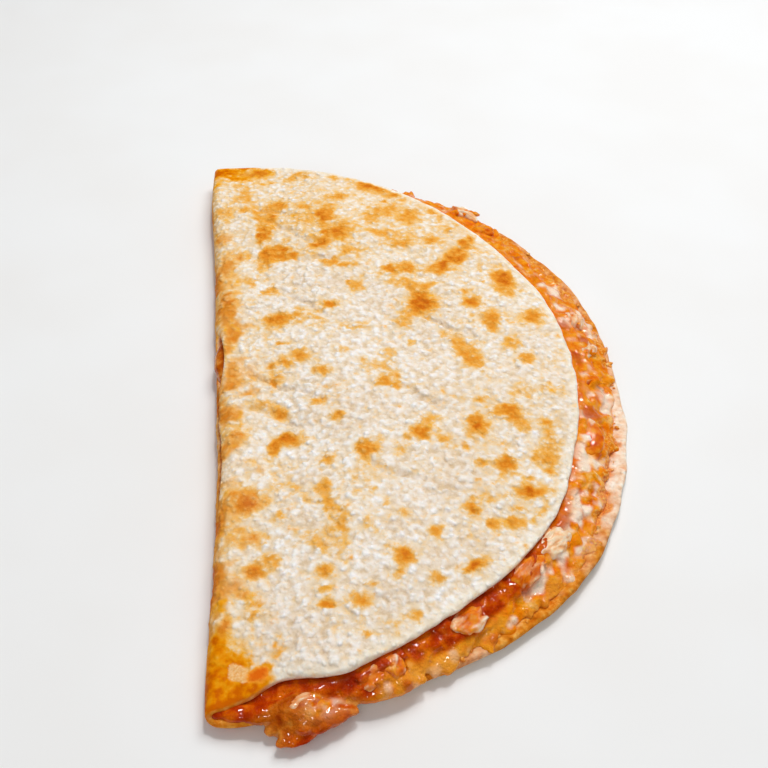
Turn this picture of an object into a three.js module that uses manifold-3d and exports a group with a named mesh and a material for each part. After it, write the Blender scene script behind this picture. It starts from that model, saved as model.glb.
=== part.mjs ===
// A quesadilla: one flour tortilla folded over melted cheese and chicken.
//
// Millimetres, +Z up. The fold runs along Y, the open curved side faces +X, and the
// underside rests on z = 0. The origin is at the bottom centre of the whole part.
//
// Shapes are worked out in fold coordinates, whose x is measured from the outer face of
// the fold and whose y is measured from the fold's middle, and then moved to the origin.

import * as THREE from 'three';
import { mergeVertices } from 'three/addons/utils/BufferGeometryUtils.js';
import Module from 'manifold-3d';

// ---- Driving dimensions ----

// The tortilla: each flap ends on an arc, and the lower flap reaches further out.
const FLAP_RADIUS = 126.5;
const UPPER_CENTRE_X = -7.7;
const LOWER_CENTRE_X = 10.3;
const FOLD_HALF_LENGTH = 125;
const TORTILLA_THICKNESS = 2.2;

// Heights of the top surface above what the part rests on.
const FOLD_HEIGHT = 10.4;
const MIDDLE_HEIGHT = 12.8;
const EDGE_DROOP = 0.9;
const EDGE_DROOP_WIDTH = 20;
const NEAR_CORNER_DROP = 2.8;
const FAR_CORNER_DROP = 1.4;
const LONG_RIPPLE = 0.4;
const SHORT_RIPPLE = 0.25;

// The lower flap is flat where it rests and curls up along its edge.
const EDGE_LIFT = 1.7;
const EDGE_LIFT_WIDTH = 13;

// Slow waves of the two outlines and of the curl: angle in degrees, size and spread.
const UPPER_EDGE_WAVES = [
  { at: 56, by: 1.4, spread: 14 },
  { at: 20, by: -0.9, spread: 6 },
  { at: -35, by: 2.0, spread: 10 },
  { at: -60, by: -0.9, spread: 9 },
  { at: -88, by: -5.0, spread: 18 },
];
const LOWER_EDGE_WAVES = [
  { at: 50, by: 1.6, spread: 12 },
  { at: -4, by: -2.4, spread: 13 },
  { at: -46, by: 3.6, spread: 15 },
  { at: -90, by: -1.4, spread: 9 },
];
const EDGE_LIFT_WAVES = [
  { at: 30, by: 0.7, spread: 16 },
  { at: -44, by: 0.8, spread: 14 },
  { at: -83, by: 1.6, spread: 8 },
];

// How far the fold's line strays along X at places along Y.
const FOLD_WAVES = [
  { at: 96, by: -1.7, spread: 32 },
  { at: -38, by: 1.2, spread: 30 },
  { at: -120, by: -2.3, spread: 24 },
];

// The split in the fold that lets the cheese show: a lens along Y, tilted to face up and out.
const SPLIT = { y: 8.5, halfLength: 14, halfWidth: 1.1, depth: 3.4, x: 1.7, z: 8.2, tilt: 40 };

// The filling: it starts in the fold and slopes from the upper flap's edge to the lower's.
const GAP = 0.3;
const FILLING_CEILING_GAP = 0.6;
const FILLING_FLOOR_GAP = 0.95;
const FILLING_INSET = 4.4;
const FILLING_LIP = 0.4;
const FILLING_BULGE = 0.9;
const UNDER_EDGE = 3;
const SMALLEST_NOSE = 0.25;

// Cheese that has run out over the lower flap's edge, near the -Y end of the fold.
const RUNS = [
  { x: 24, y: -124.5, z: 3.4, rx: 13.5, ry: 7.2, rz: 3.2, turn: 8 },
  { x: 18.5, y: -127.6, z: 2.6, rx: 6.5, ry: 4.4, rz: 2.3, turn: -20 },
  { x: 43, y: -120.2, z: 5.0, rx: 11, ry: 4.2, rz: 2.1, turn: 10 },
];

// Chicken: plan position, height of the middle, half sizes and turn about Z in degrees.
const CHICKEN = [
  { x: 97.5, y: 88.0, z: 7.3, rx: 6.6, ry: 3.1, rz: 2.4, turn: -44 },
  { x: 103.5, y: 76.0, z: 7.2, rx: 3.9, ry: 3.0, rz: 2.5, turn: -50 },
  { x: 125.6, y: 19.5, z: 6.7, rx: 3.0, ry: 4.3, rz: 2.2, turn: 8 },
  { x: 126.6, y: 2.0, z: 6.6, rx: 3.0, ry: 4.2, rz: 2.3, turn: -4 },
  { x: 122.4, y: -13.5, z: 7.2, rx: 4.4, ry: 2.2, rz: 1.9, turn: 20 },
  { x: 120.0, y: -36.0, z: 7.1, rx: 5.0, ry: 6.6, rz: 2.9, turn: -14 },
  { x: 97.6, y: -79.0, z: 7.6, rx: 5.0, ry: 8.2, rz: 3.0, turn: -44 },
  { x: 86.8, y: -89.0, z: 7.8, rx: 6.4, ry: 3.8, rz: 2.7, turn: 42 },
  { x: 70.5, y: -103.6, z: 7.4, rx: 8.4, ry: 4.2, rz: 2.8, turn: 28 },
  { x: 48.6, y: -114.4, z: 7.2, rx: 3.4, ry: 4.8, rz: 2.6, turn: 8 },
  { x: 38.6, y: -117.4, z: 6.8, rx: 5.0, ry: 3.8, rz: 2.6, turn: 24 },
  { x: 23.8, y: -123.4, z: 6.0, rx: 7.6, ry: 4.4, rz: 2.6, turn: 8 },
];

// How knobbly the lumps are, as a share of their size.
const RUN_UNEVENNESS = 0.05;
const CHICKEN_UNEVENNESS = 0.08;

// Where the middle of the fold's outer face lies, seen from the part's origin.
const FOLD_POSITION = { x: -66.3, y: 2.5 };

// Mesh fineness. Steps across a flap crowd towards its edge, and slices stop a little
// short of the fold's ends.
const SLICES = 38;
const TORTILLA_SLICE_SPAN = 0.985;
const FILLING_SLICE_SPAN = 0.935;
const FLAP_STEPS = 7;
const FLAP_STEP_CROWDING = 1.6;
const FOLD_STEPS = 6;
const HIDDEN_STEPS = 3;
const RIBBON_STEPS = 5;
const LUMP_STEPS = { around: 9, down: 6 };
const EDGE_ROUNDING_TURN = 50;
const END_ROUNDING = 0.7;
const END_THINNING = 0.28;

// ---- Small maths ----

const rad = THREE.MathUtils.degToRad;
const deg = THREE.MathUtils.radToDeg;
const smooth = THREE.MathUtils.smoothstep;
const mix = THREE.MathUtils.lerp;

// Adds up bell-shaped waves at one place.
function waves(list, place) {
  let sum = 0;
  for (const wave of list) {
    sum += wave.by * Math.exp(-(((place - wave.at) / wave.spread) ** 2));
  }
  return sum;
}

// ---- The tortilla's form in fold coordinates ----

const upperRadius = (angle) => FLAP_RADIUS + waves(UPPER_EDGE_WAVES, deg(angle));
const lowerRadius = (angle) => FLAP_RADIUS + waves(LOWER_EDGE_WAVES, deg(angle));

// How far a plan point lies inside each flap's edge.
function insideUpper(x, y) {
  const angle = Math.atan2(y, x - UPPER_CENTRE_X);
  return upperRadius(angle) - Math.hypot(x - UPPER_CENTRE_X, y);
}

function insideLower(x, y) {
  const angle = Math.atan2(y, x - LOWER_CENTRE_X);
  return lowerRadius(angle) - Math.hypot(x - LOWER_CENTRE_X, y);
}

// Height of the underside: flat, with a curled edge.
function undersideHeight(x, y) {
  const angle = Math.atan2(y, x - LOWER_CENTRE_X);
  const towardEdge = 1 - smooth(insideLower(x, y), 0, EDGE_LIFT_WIDTH);
  return (EDGE_LIFT + waves(EDGE_LIFT_WAVES, deg(angle))) * towardEdge ** 2;
}

// Height of the top surface: low at the fold and at its ends, with gentle waves.
function topHeight(x, y) {
  const rise = (MIDDLE_HEIGHT - FOLD_HEIGHT) * smooth(x, 4, 46);
  const droop = EDGE_DROOP * (1 - smooth(insideUpper(x, y), 0, EDGE_DROOP_WIDTH));
  const nearDrop = NEAR_CORNER_DROP * smooth(-y, 78, FOLD_HALF_LENGTH) * (1 - smooth(x, 0, 42));
  const farDrop = FAR_CORNER_DROP * smooth(y, 90, FOLD_HALF_LENGTH);
  const longRipple = LONG_RIPPLE * Math.sin(x / 15 + 0.6) * Math.cos(y / 19 - 0.4);
  const shortRipple = SHORT_RIPPLE * Math.sin(y / 11 + x / 24);
  const ripple = (longRipple + shortRipple) * smooth(x, 2, 30);
  return FOLD_HEIGHT + rise - droop - nearDrop - farDrop + ripple;
}

// The rounded fold at one place along Y: its outer radius and the height of its axis.
function foldAt(y) {
  const low = undersideHeight(0, y);
  const high = topHeight(0, y);
  return { radius: (high - low) / 2, axis: (high + low) / 2 };
}

// The fold isn't quite straight: the sheet near it is moved along X.
function bendFold(geometry) {
  const position = geometry.attributes.position;
  for (let i = 0; i < position.count; i += 1) {
    const x = position.getX(i);
    const move = waves(FOLD_WAVES, position.getY(i)) * (1 - smooth(x, 2, 55));
    position.setX(i, x + move);
  }
  return geometry;
}

// One slice runs from the fold to a point on each flap's edge, all at the same share of
// the way along: -1 at the near end of the fold, 1 at the far end.
function sliceAt(share) {
  const foldY = FOLD_HALF_LENGTH * Math.sin(share * Math.PI / 2);
  const fold = foldAt(foldY);
  const lastX = fold.radius + 1;
  const upperAngle = share * Math.acos((lastX - UPPER_CENTRE_X) / FLAP_RADIUS);
  const lowerAngle = share * Math.acos((lastX - LOWER_CENTRE_X) / FLAP_RADIUS);
  return { share, foldY, fold, upperAngle, lowerAngle };
}

// All slices, as far along the fold as the span says.
function slicesAlong(span) {
  return Array.from({ length: SLICES + 1 }, (_, i) => sliceAt(span * (2 * i / SLICES - 1)));
}

// A plan point on a flap's edge, moved inwards by some millimetres.
function edgePoint(slice, centreX, angle, reach) {
  const x = centreX + reach * Math.cos(angle);
  return { x: Math.max(x, slice.fold.radius + 0.5), y: reach * Math.sin(angle) };
}

function onUpperEdge(slice, inset) {
  const angle = slice.upperAngle;
  return edgePoint(slice, UPPER_CENTRE_X, angle, upperRadius(angle) - inset);
}

function onLowerEdge(slice, inset) {
  const angle = slice.lowerAngle;
  return edgePoint(slice, LOWER_CENTRE_X, angle, lowerRadius(angle) - inset);
}

// ---- Lofting ----

// Each section is an upper and a lower chain of points that share their first and last
// points. The body between neighbouring sections is closed by a cap at each end.
function loft(sections) {
  const last = sections[0].upper.length - 1;
  const loopSize = 2 * last;
  const points = [];
  const triangles = [];
  const index = (section, place) => section * loopSize + ((place + loopSize) % loopSize);
  for (const section of sections) {
    points.push(...section.upper.slice(0, last));
    points.push(...section.lower.slice(1).reverse());
  }
  for (let s = 0; s < sections.length - 1; s += 1) {
    for (let i = 0; i < loopSize; i += 1) {
      const a = index(s, i);
      const b = index(s, i + 1);
      const c = index(s + 1, i + 1);
      const d = index(s + 1, i);
      triangles.push(a, c, b, a, d, c);
    }
  }
  const cap = (section, flip) => {
    for (let i = 0; i < last; i += 1) {
      const a = index(section, i);
      const b = index(section, i + 1);
      const c = index(section, -i - 1);
      const d = index(section, -i);
      if (a !== d) triangles.push(...(flip ? [a, d, b] : [a, b, d]));
      if (b !== c) triangles.push(...(flip ? [b, d, c] : [b, c, d]));
    }
  };
  cap(0, false);
  cap(sections.length - 1, true);
  const geometry = new THREE.BufferGeometry();
  const flat = points.flatMap((point) => [point.x, point.y, point.z]);
  geometry.setAttribute('position', new THREE.Float32BufferAttribute(flat, 3));
  geometry.setIndex(triangles);
  return geometry;
}

// ---- The folded tortilla ----

// A station of the sheet holds a point of its middle surface and its outward normal
// (nx, nz) in the slice. A normal shorter than 1 thins the sheet, as at its rounded edge.
function flapStations(slice, onEdge, middleAt, outward) {
  const edge = onEdge(slice, TORTILLA_THICKNESS / 2);
  const stations = [];
  for (let i = 0; i <= FLAP_STEPS; i += 1) {
    const share = 1 - (i / FLAP_STEPS) ** FLAP_STEP_CROWDING;
    const x = mix(slice.fold.radius, edge.x, share);
    const y = mix(slice.foldY, edge.y, share);
    stations.push({ x, y, middle: middleAt(x, y), nx: 0, nz: outward });
  }
  const tip = onEdge(slice, 0);
  for (const turn of [EDGE_ROUNDING_TURN, 90]) {
    const x = mix(edge.x, tip.x, Math.sin(rad(turn)));
    const y = mix(edge.y, tip.y, Math.sin(rad(turn)));
    const nz = outward * Math.cos(rad(turn));
    stations.unshift({ x, y, middle: stations[0].middle, nx: 0, nz });
  }
  return stations;
}

function foldStations(slice) {
  const { fold, foldY } = slice;
  const middleRadius = fold.radius - TORTILLA_THICKNESS / 2;
  const stations = [];
  for (let i = 1; i < FOLD_STEPS; i += 1) {
    const nx = Math.cos(Math.PI / 2 + Math.PI * i / FOLD_STEPS);
    const nz = Math.sin(Math.PI / 2 + Math.PI * i / FOLD_STEPS);
    const x = fold.radius + middleRadius * nx;
    stations.push({ x, y: foldY, middle: fold.axis + middleRadius * nz, nx, nz });
  }
  return stations;
}

// The sheet at one slice, made thicker all round by a clearance to cut its neighbours.
function tortillaSection(slice, clearance) {
  const half = TORTILLA_THICKNESS / 2;
  const stations = [
    ...flapStations(slice, onUpperEdge, (x, y) => topHeight(x, y) - half, 1),
    ...foldStations(slice),
    ...flapStations(slice, onLowerEdge, (x, y) => undersideHeight(x, y) + half, -1).reverse(),
  ];
  const offset = (side) => stations.map(({ x, y, middle, nx, nz }) => {
    const reach = side * (half + clearance);
    return new THREE.Vector3(x + reach * nx, y, middle + reach * nz);
  });
  const upper = offset(1);
  const lower = offset(-1);
  for (const [end, next] of [[0, 1], [stations.length - 1, stations.length - 2]]) {
    const moveX = stations[end].x - stations[next].x;
    const moveY = stations[end].y - stations[next].y;
    upper[end].addScaledVector(new THREE.Vector3(moveX, moveY).normalize(), clearance);
    lower[end] = upper[end];
  }
  return { upper, lower };
}

// Rounds off an end of the fold: the section moves along Y and gets thinner.
function tuckedEnd(section, moveY) {
  const tuck = (chain, other) => chain.map((point, i) => {
    const tucked = point.clone().lerp(other[i], END_THINNING);
    tucked.y += moveY;
    return tucked;
  });
  return { upper: tuck(section.upper, section.lower), lower: tuck(section.lower, section.upper) };
}

function tortillaGeometry(clearance) {
  const sections = slicesAlong(TORTILLA_SLICE_SPAN).map((slice) => tortillaSection(slice, clearance));
  sections.unshift(tuckedEnd(sections[0], -END_ROUNDING - clearance));
  sections.push(tuckedEnd(sections[sections.length - 1], END_ROUNDING + clearance));
  return loft(sections);
}

// ---- The filling ----

const fillingCeiling = (x, y) => topHeight(x, y) - TORTILLA_THICKNESS - FILLING_CEILING_GAP;
const fillingFloor = (x, y) => undersideHeight(x, y) + TORTILLA_THICKNESS + FILLING_FLOOR_GAP;

// The section starts with a rounded nose in the fold, runs between the flaps, and slopes
// down outside the upper flap's edge.
function fillingSection(slice) {
  const { fold, foldY } = slice;
  const nose = Math.max(fold.radius - TORTILLA_THICKNESS - FILLING_CEILING_GAP, SMALLEST_NOSE);
  const underEdge = onUpperEdge(slice, UNDER_EDGE);
  const outer = onLowerEdge(slice, FILLING_INSET);
  const upper = [new THREE.Vector3(fold.radius - nose, foldY, fold.axis)];
  const lower = [upper[0]];
  for (const turn of [45, 88]) {
    const x = fold.radius - nose * Math.cos(rad(turn));
    const rise = nose * Math.sin(rad(turn));
    upper.push(new THREE.Vector3(x, foldY, fold.axis + rise));
    lower.push(new THREE.Vector3(x, foldY, fold.axis - rise));
  }
  for (let i = 1; i <= HIDDEN_STEPS; i += 1) {
    const x = mix(fold.radius, underEdge.x, i / HIDDEN_STEPS);
    const y = mix(foldY, underEdge.y, i / HIDDEN_STEPS);
    upper.push(new THREE.Vector3(x, y, fillingCeiling(x, y)));
    lower.push(new THREE.Vector3(x, y, fillingFloor(x, y)));
  }
  const start = fillingCeiling(underEdge.x, underEdge.y);
  const end = fillingFloor(outer.x, outer.y) + FILLING_LIP;
  const unevenness = 1 + 0.5 * Math.sin(slice.share * 23) + 0.3 * Math.cos(slice.share * 41);
  for (let i = 1; i <= RIBBON_STEPS; i += 1) {
    const share = i / RIBBON_STEPS;
    const x = mix(underEdge.x, outer.x, share);
    const y = mix(underEdge.y, outer.y, share);
    const bulge = FILLING_BULGE * unevenness * Math.sin(Math.PI * share) * share;
    upper.push(new THREE.Vector3(x, y, mix(start, end, share ** 1.4) + bulge));
    lower.push(new THREE.Vector3(x, y, fillingFloor(x, y)));
  }
  lower[lower.length - 1] = upper[upper.length - 1];
  return { upper: upper.reverse(), lower: lower.reverse() };
}

const fillingGeometry = () => loft(slicesAlong(FILLING_SLICE_SPAN).map(fillingSection));

// ---- Lumps: chicken and runs of cheese ----

// An uneven rounded lump, made larger all round by a clearance to cut its neighbours.
function lumpGeometry(lump, unevenness, clearance) {
  const geometry = new THREE.SphereGeometry(1, LUMP_STEPS.around, LUMP_STEPS.down);
  geometry.rotateX(Math.PI / 2);
  const position = geometry.attributes.position;
  const size = new THREE.Vector3(lump.rx, lump.ry, lump.rz).addScalar(clearance);
  const seed = lump.x * 0.7 + lump.y * 1.3;
  for (let i = 0; i < position.count; i += 1) {
    const point = new THREE.Vector3().fromBufferAttribute(position, i);
    const broad = Math.sin(3.1 * point.x + seed) * Math.cos(2.7 * point.y - seed);
    const fine = 0.6 * Math.sin(5.3 * point.z + 4.1 * point.x + seed);
    point.multiplyScalar(1 + unevenness * (broad + fine)).multiply(size);
    position.setXYZ(i, point.x, point.y, point.z);
  }
  geometry.rotateZ(rad(lump.turn));
  geometry.translate(lump.x, lump.y, lump.z);
  return geometry;
}

function splitGeometry() {
  const geometry = new THREE.SphereGeometry(1, 12, 8);
  geometry.scale(SPLIT.depth, SPLIT.halfLength, SPLIT.halfWidth);
  geometry.rotateY(rad(SPLIT.tilt));
  geometry.translate(SPLIT.x, SPLIT.y, SPLIT.z);
  return geometry;
}

// ---- Cutting and joining ----

const wasm = await Module();
wasm.setup();

function toSolid(geometry) {
  const bare = bendFold(geometry.clone());
  bare.deleteAttribute('normal');
  bare.deleteAttribute('uv');
  const merged = mergeVertices(bare, 1e-4);
  const vertProperties = new Float32Array(merged.attributes.position.array);
  const triVerts = new Uint32Array(merged.index.array);
  return new wasm.Manifold(new wasm.Mesh({ numProp: 3, vertProperties, triVerts }));
}

function toGeometry(solid) {
  const mesh = solid.getMesh();
  const geometry = new THREE.BufferGeometry();
  geometry.setAttribute('position', new THREE.Float32BufferAttribute(mesh.vertProperties, 3));
  geometry.setIndex(Array.from(mesh.triVerts));
  return geometry;
}

// Keeps the largest body where a cut has left crumbs behind.
function largestBody(solid) {
  const bodies = solid.decompose();
  bodies.sort((a, b) => b.volume() - a.volume());
  return bodies[0];
}

// ---- Materials ----

const finishes = {
  tortilla: new THREE.MeshStandardMaterial({ color: 0xeadcc0, roughness: 0.75, metalness: 0 }),
  cheese: new THREE.MeshStandardMaterial({ color: 0xd98a24, roughness: 0.25, metalness: 0 }),
  chicken: new THREE.MeshStandardMaterial({ color: 0xe8c39a, roughness: 0.4, metalness: 0 }),
};

// ---- The object ----

function namedMesh(name, solid, material) {
  const mesh = new THREE.Mesh(toGeometry(solid), material);
  mesh.name = name;
  return mesh;
}

const quesadilla = new THREE.Group();
quesadilla.position.set(FOLD_POSITION.x, FOLD_POSITION.y, 0);

const tortilla = toSolid(tortillaGeometry(0)).subtract(toSolid(splitGeometry()));
const tortillaCutter = toSolid(tortillaGeometry(GAP));
quesadilla.add(namedMesh('tortilla', tortilla, finishes.tortilla));

let filling = toSolid(fillingGeometry());
for (const run of RUNS) {
  filling = filling.add(toSolid(lumpGeometry(run, RUN_UNEVENNESS, 0)));
}
filling = filling.subtract(tortillaCutter);

let neighbours = tortillaCutter;
CHICKEN.forEach((chunk, i) => {
  const body = toSolid(lumpGeometry(chunk, CHICKEN_UNEVENNESS, 0)).subtract(neighbours);
  const cutter = toSolid(lumpGeometry(chunk, CHICKEN_UNEVENNESS, GAP));
  quesadilla.add(namedMesh(`chicken_${i + 1}`, largestBody(body), finishes.chicken));
  neighbours = neighbours.add(cutter);
  filling = filling.subtract(cutter);
});
quesadilla.add(namedMesh('filling', largestBody(filling), finishes.cheese));

const part = new THREE.Group();
part.add(quesadilla);
export default part;
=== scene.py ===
# %% [markdown]
# # A folded quesadilla
#
# One flour tortilla, griddled and folded over melted cheese, chilli sauce and chicken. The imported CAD
# model gives the room that each piece takes. This lesson builds the surfaces that the eye judges: the
# blistered, toasted sheet, the cheese that has run to the open edge, and the glazed meat in it.

import itertools
import math

import bpy
import numpy as np
from mathutils import Matrix, Vector
from mathutils.geometry import delaunay_2d_cdt


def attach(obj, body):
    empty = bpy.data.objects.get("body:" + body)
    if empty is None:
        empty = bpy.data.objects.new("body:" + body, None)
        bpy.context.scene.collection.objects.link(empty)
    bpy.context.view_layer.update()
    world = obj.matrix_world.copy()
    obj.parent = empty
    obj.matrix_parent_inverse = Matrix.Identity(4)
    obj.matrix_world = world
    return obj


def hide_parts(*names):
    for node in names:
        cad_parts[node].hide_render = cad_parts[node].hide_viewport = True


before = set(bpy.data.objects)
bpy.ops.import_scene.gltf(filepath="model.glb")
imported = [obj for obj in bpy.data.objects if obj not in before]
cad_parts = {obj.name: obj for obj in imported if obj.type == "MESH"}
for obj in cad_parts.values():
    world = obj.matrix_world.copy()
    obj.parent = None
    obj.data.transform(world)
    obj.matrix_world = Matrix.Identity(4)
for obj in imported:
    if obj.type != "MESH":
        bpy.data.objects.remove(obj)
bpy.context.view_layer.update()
MM = 0.001

# %% [markdown]
# ## The camera
#
# Food is often shot with a short telephoto lens from a chair's height, about forty degrees down, so
# that both the top and the open edge show. The place, the two turns and the small roll are written as
# real sizes, and the lens is given by its focal length and the width of its sensor.

# %% Place the camera
CAMERA_PLACE = (-46.0, -271.1, 251.8)
CAMERA_DOWN_DEG = 42.5
CAMERA_TURN_DEG = 7.5
CAMERA_ROLL_DEG = 2.0
CAMERA_LENS = 51.56
SENSOR_WIDTH = 36

camera = bpy.data.objects.new("camera", bpy.data.cameras.new("camera"))
bpy.context.scene.collection.objects.link(camera)
bpy.context.scene.camera = camera
camera.data.sensor_width = SENSOR_WIDTH
camera.data.lens = CAMERA_LENS
camera.data.clip_start = 0.01
camera.data.clip_end = 20
turn = Matrix.Rotation(math.radians(-CAMERA_TURN_DEG), 4, "Z")
tilt = Matrix.Rotation(math.radians(90 - CAMERA_DOWN_DEG), 4, "X")
roll = Matrix.Rotation(math.radians(CAMERA_ROLL_DEG), 4, "Z")
camera.matrix_world = Matrix.Translation(Vector(CAMERA_PLACE) * MM) @ turn @ tilt @ roll
print("camera", [round(c, 3) for c in camera.location])

# %% [markdown]
# ## Writing materials as sums
#
# A material is a graph of nodes. Written node by node it hides the idea, so one small class wraps a
# socket: adding or multiplying two wrapped sockets puts the Math node there. Colours would turn grey in
# a Math node, so they are blended with `blend`, and every other node comes from `Finish.node`.

# %% The material helper


def paint(red, green, blue):
    """A colour as a screen shows it, 0 to 255, as the light amounts that Blender reckons with."""
    shares = [channel / 255 for channel in (red, green, blue)]
    return [c / 12.92 if c <= 0.04045 else ((c + 0.055) / 1.055) ** 2.4 for c in shares] + [1.0]


class Socket:
    """A value that the nodes of a finish work out."""

    def __init__(self, finish, socket):
        self.finish, self.socket = finish, socket

    def math(self, operation, first, second):
        return self.finish.node("ShaderNodeMath", {"operation": operation}, {0: first, 1: second})

    def __add__(self, other):
        return self.math("ADD", self, other)

    def __sub__(self, other):
        return self.math("SUBTRACT", self, other)

    def __rsub__(self, other):
        return self.math("SUBTRACT", other, self)

    def __mul__(self, other):
        return self.math("MULTIPLY", self, other)

    __radd__, __rmul__ = __add__, __mul__


class Finish:
    """One material. node() adds a node: its settings come first, then what its sockets hold."""

    def __init__(self, name, **constants):
        self.material = bpy.data.materials.new(name)
        self.material.use_nodes = True
        self.tree = self.material.node_tree
        self.shader = self.tree.nodes["Principled BSDF"]
        for socket, value in constants.items():
            self.shader.inputs[socket.replace("_", " ")].default_value = value
        self.place = self.node("ShaderNodeTexCoord", output="Object")

    def node(self, kind, settings=None, sockets=None, output=0):
        made = self.tree.nodes.new(kind)
        for name, value in (settings or {}).items():
            if name == "stops":
                while len(made.color_ramp.elements) < len(value):
                    made.color_ramp.elements.new(1.0)
                for element, (position, colour) in zip(made.color_ramp.elements, value):
                    element.position, element.color = position, colour
            else:
                setattr(made, name, value)
        for socket, value in (sockets or {}).items():
            self.feed(made.inputs[socket], value)
        return Socket(self, made.outputs[output])

    def feed(self, target, value):
        if isinstance(value, Socket):
            self.tree.links.new(value.socket, target)
        else:
            target.default_value = value

    def measured(self, name):
        """A number that the mesh carries at each point."""
        return self.node("ShaderNodeAttribute", {"attribute_name": name}, output="Fac")

    def grain(self, size, detail=2.0, roughness=0.5):
        """Cloudy noise from 0 to 1 whose lumps are about `size` millimetres apart."""
        sockets = {"Vector": self.place, "Scale": 1 / (size * MM), "Detail": detail, "Roughness": roughness}
        return self.node("ShaderNodeTexNoise", None, sockets, "Fac")

    def ramp(self, value, *stops):
        """The colour for a value, by stops of (value, red, green, blue)."""
        stops = [(position, paint(*colour)) for position, *colour in stops]
        return self.node("ShaderNodeValToRGB", {"stops": stops}, {0: value})

    def shades(self, noise, dark, usual, light):
        """A colour for each value of cloudy noise, which lies mostly between 0.3 and 0.7."""
        return self.ramp(noise, (0.3, *dark), (0.5, *usual), (0.7, *light))

    def between(self, value, low, high, to_low=0.0, to_high=1.0):
        """A smooth step from one level to another while a value goes from low to high."""
        sockets = {0: value, 1: low, 2: high, 3: to_low, 4: to_high}
        return self.node("ShaderNodeMapRange", {"interpolation_type": "SMOOTHSTEP"}, sockets)

    def blend(self, share, first, second, way="MIX"):
        """Two colours mixed by a share, or the first one multiplied by it."""
        settings = {"data_type": "RGBA", "blend_type": way}
        return self.node("ShaderNodeMix", settings, {0: share, 6: first, 7: second}, 2)

    def bump(self, height, depth):
        """A normal for relief of `depth` millimetres that is too fine for the mesh."""
        sockets = {"Height": height, "Distance": depth * MM, "Strength": 1.0}
        return self.node("ShaderNodeBump", None, sockets)

    def finish(self, **links):
        for socket, value in links.items():
            self.feed(self.shader.inputs[socket.replace("_", " ")], value)
        return self.material


print("material helper ready")

# %% [markdown]
# ## Light, floor and tone
#
# The food lies in bright soft daylight: one large soft light high behind it on the right puts a soft shade
# to the left of the fold, a weaker one fills from the front, and a pale room gives the rest. A small light
# overhead makes crisp glints on wet cheese. The wide ones and the room are kept out of reflections, as by a
# polarising filter, because a wide pale reflection turns sauce grey, and three small lights are seen in
# reflections only. The plain tone curve keeps oranges clean.

# %% Light the scene
ROOM_COLOUR = (0.95, 0.967, 0.965, 1.0)
ROOM_STRENGTH = 0.28
LIGHTS = [
    # name, place in mm, side in mm, power in watts, colour
    ("window", (290, 460, 830), 520, 5.55, (0.94, 0.972, 1.0)),
    ("glint", (90, 240, 900), 115, 2.3, (0.96, 0.98, 1.0)),
    ("bounce", (-200, -560, 520), 500, 1.2, (0.96, 0.98, 1.0)),
    ("spark_right", (640, 800, 520), 60, 0.42, (1.0, 0.98, 0.97)),
    ("spark_high", (330, 560, 800), 80, 0.85, (1.0, 0.98, 0.98)),
    ("spark_near", (-60, -420, 850), 80, 0.85, (1.0, 0.98, 0.98)),
]
OUT_OF_REFLECTIONS = ("window", "bounce")
ONLY_IN_REFLECTIONS = ("spark_right", "spark_high", "spark_near")


def soft_light(name, place, side, power, colour):
    """A square light that points at the middle of the food."""
    lamp = bpy.data.objects.new(name, bpy.data.lights.new(name, "AREA"))
    bpy.context.scene.collection.objects.link(lamp)
    lamp.data.shape = "SQUARE"
    lamp.data.size = side * MM
    lamp.data.energy = power
    lamp.data.color = colour
    lamp.location = Vector(place) * MM
    lamp.rotation_euler = (-lamp.location).to_track_quat("-Z", "Y").to_euler()


for light in LIGHTS:
    soft_light(*light)
for name in OUT_OF_REFLECTIONS:
    bpy.data.objects[name].visible_glossy = False
for name in ONLY_IN_REFLECTIONS:
    bpy.data.objects[name].visible_diffuse = False
bpy.context.scene.view_settings.view_transform = "Standard"
world = bpy.data.worlds.new("room")
bpy.context.scene.world = world
world.use_nodes = True
room = world.node_tree.nodes["Background"]
room.inputs["Color"].default_value = ROOM_COLOUR
room.inputs["Strength"].default_value = ROOM_STRENGTH
world.cycles_visibility.glossy = False
print("lights:", len(LIGHTS))

# %% Lay the floor
FLOOR_SIDE = 6000
FLOOR_GAP = 0.15

floor_finish = Finish("pale_floor", Roughness=0.6, Specular_IOR_Level=0.3)
shade = floor_finish.between(floor_finish.grain(60), 0.3, 0.7)
floor_colour = floor_finish.blend(shade, paint(240, 237, 234), paint(242, 240, 238))
floor_mesh = bpy.data.meshes.new("floor")
half_floor = FLOOR_SIDE / 2 * MM
corners = [(x * half_floor, y * half_floor, 0) for x, y in ((-1, -1), (1, -1), (1, 1), (-1, 1))]
floor_mesh.from_pydata(corners, [], [(0, 1, 2, 3)])
floor = bpy.data.objects.new("floor", floor_mesh)
floor.location.z = -FLOOR_GAP * MM
floor.data.materials.append(floor_finish.finish(Base_Color=floor_colour))
bpy.context.scene.collection.objects.link(floor)
print("floor", FLOOR_SIDE, "mm wide")

# %% [markdown]
# ## Randomness that repeats
#
# Dough, cheese and meat are uneven, but the mesh has to come out the same on each run. A whole-number
# place is scrambled into a number from 0 to 1. Blended smoothly between places that gives clouds, and
# used to scatter one centre per place it gives cells, which is the pebbly pattern of griddled dough.
# Three more helpers are used all through: `smooth` rises from 0 to 1 between two values, `hump` is a
# soft bump round a value, and `rotated` turns plan points.

# %% Repeatable noise
SCRAMBLE = (374761393, 668265263, 2147483647)
WORD = 0xFFFFFFFF


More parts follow.
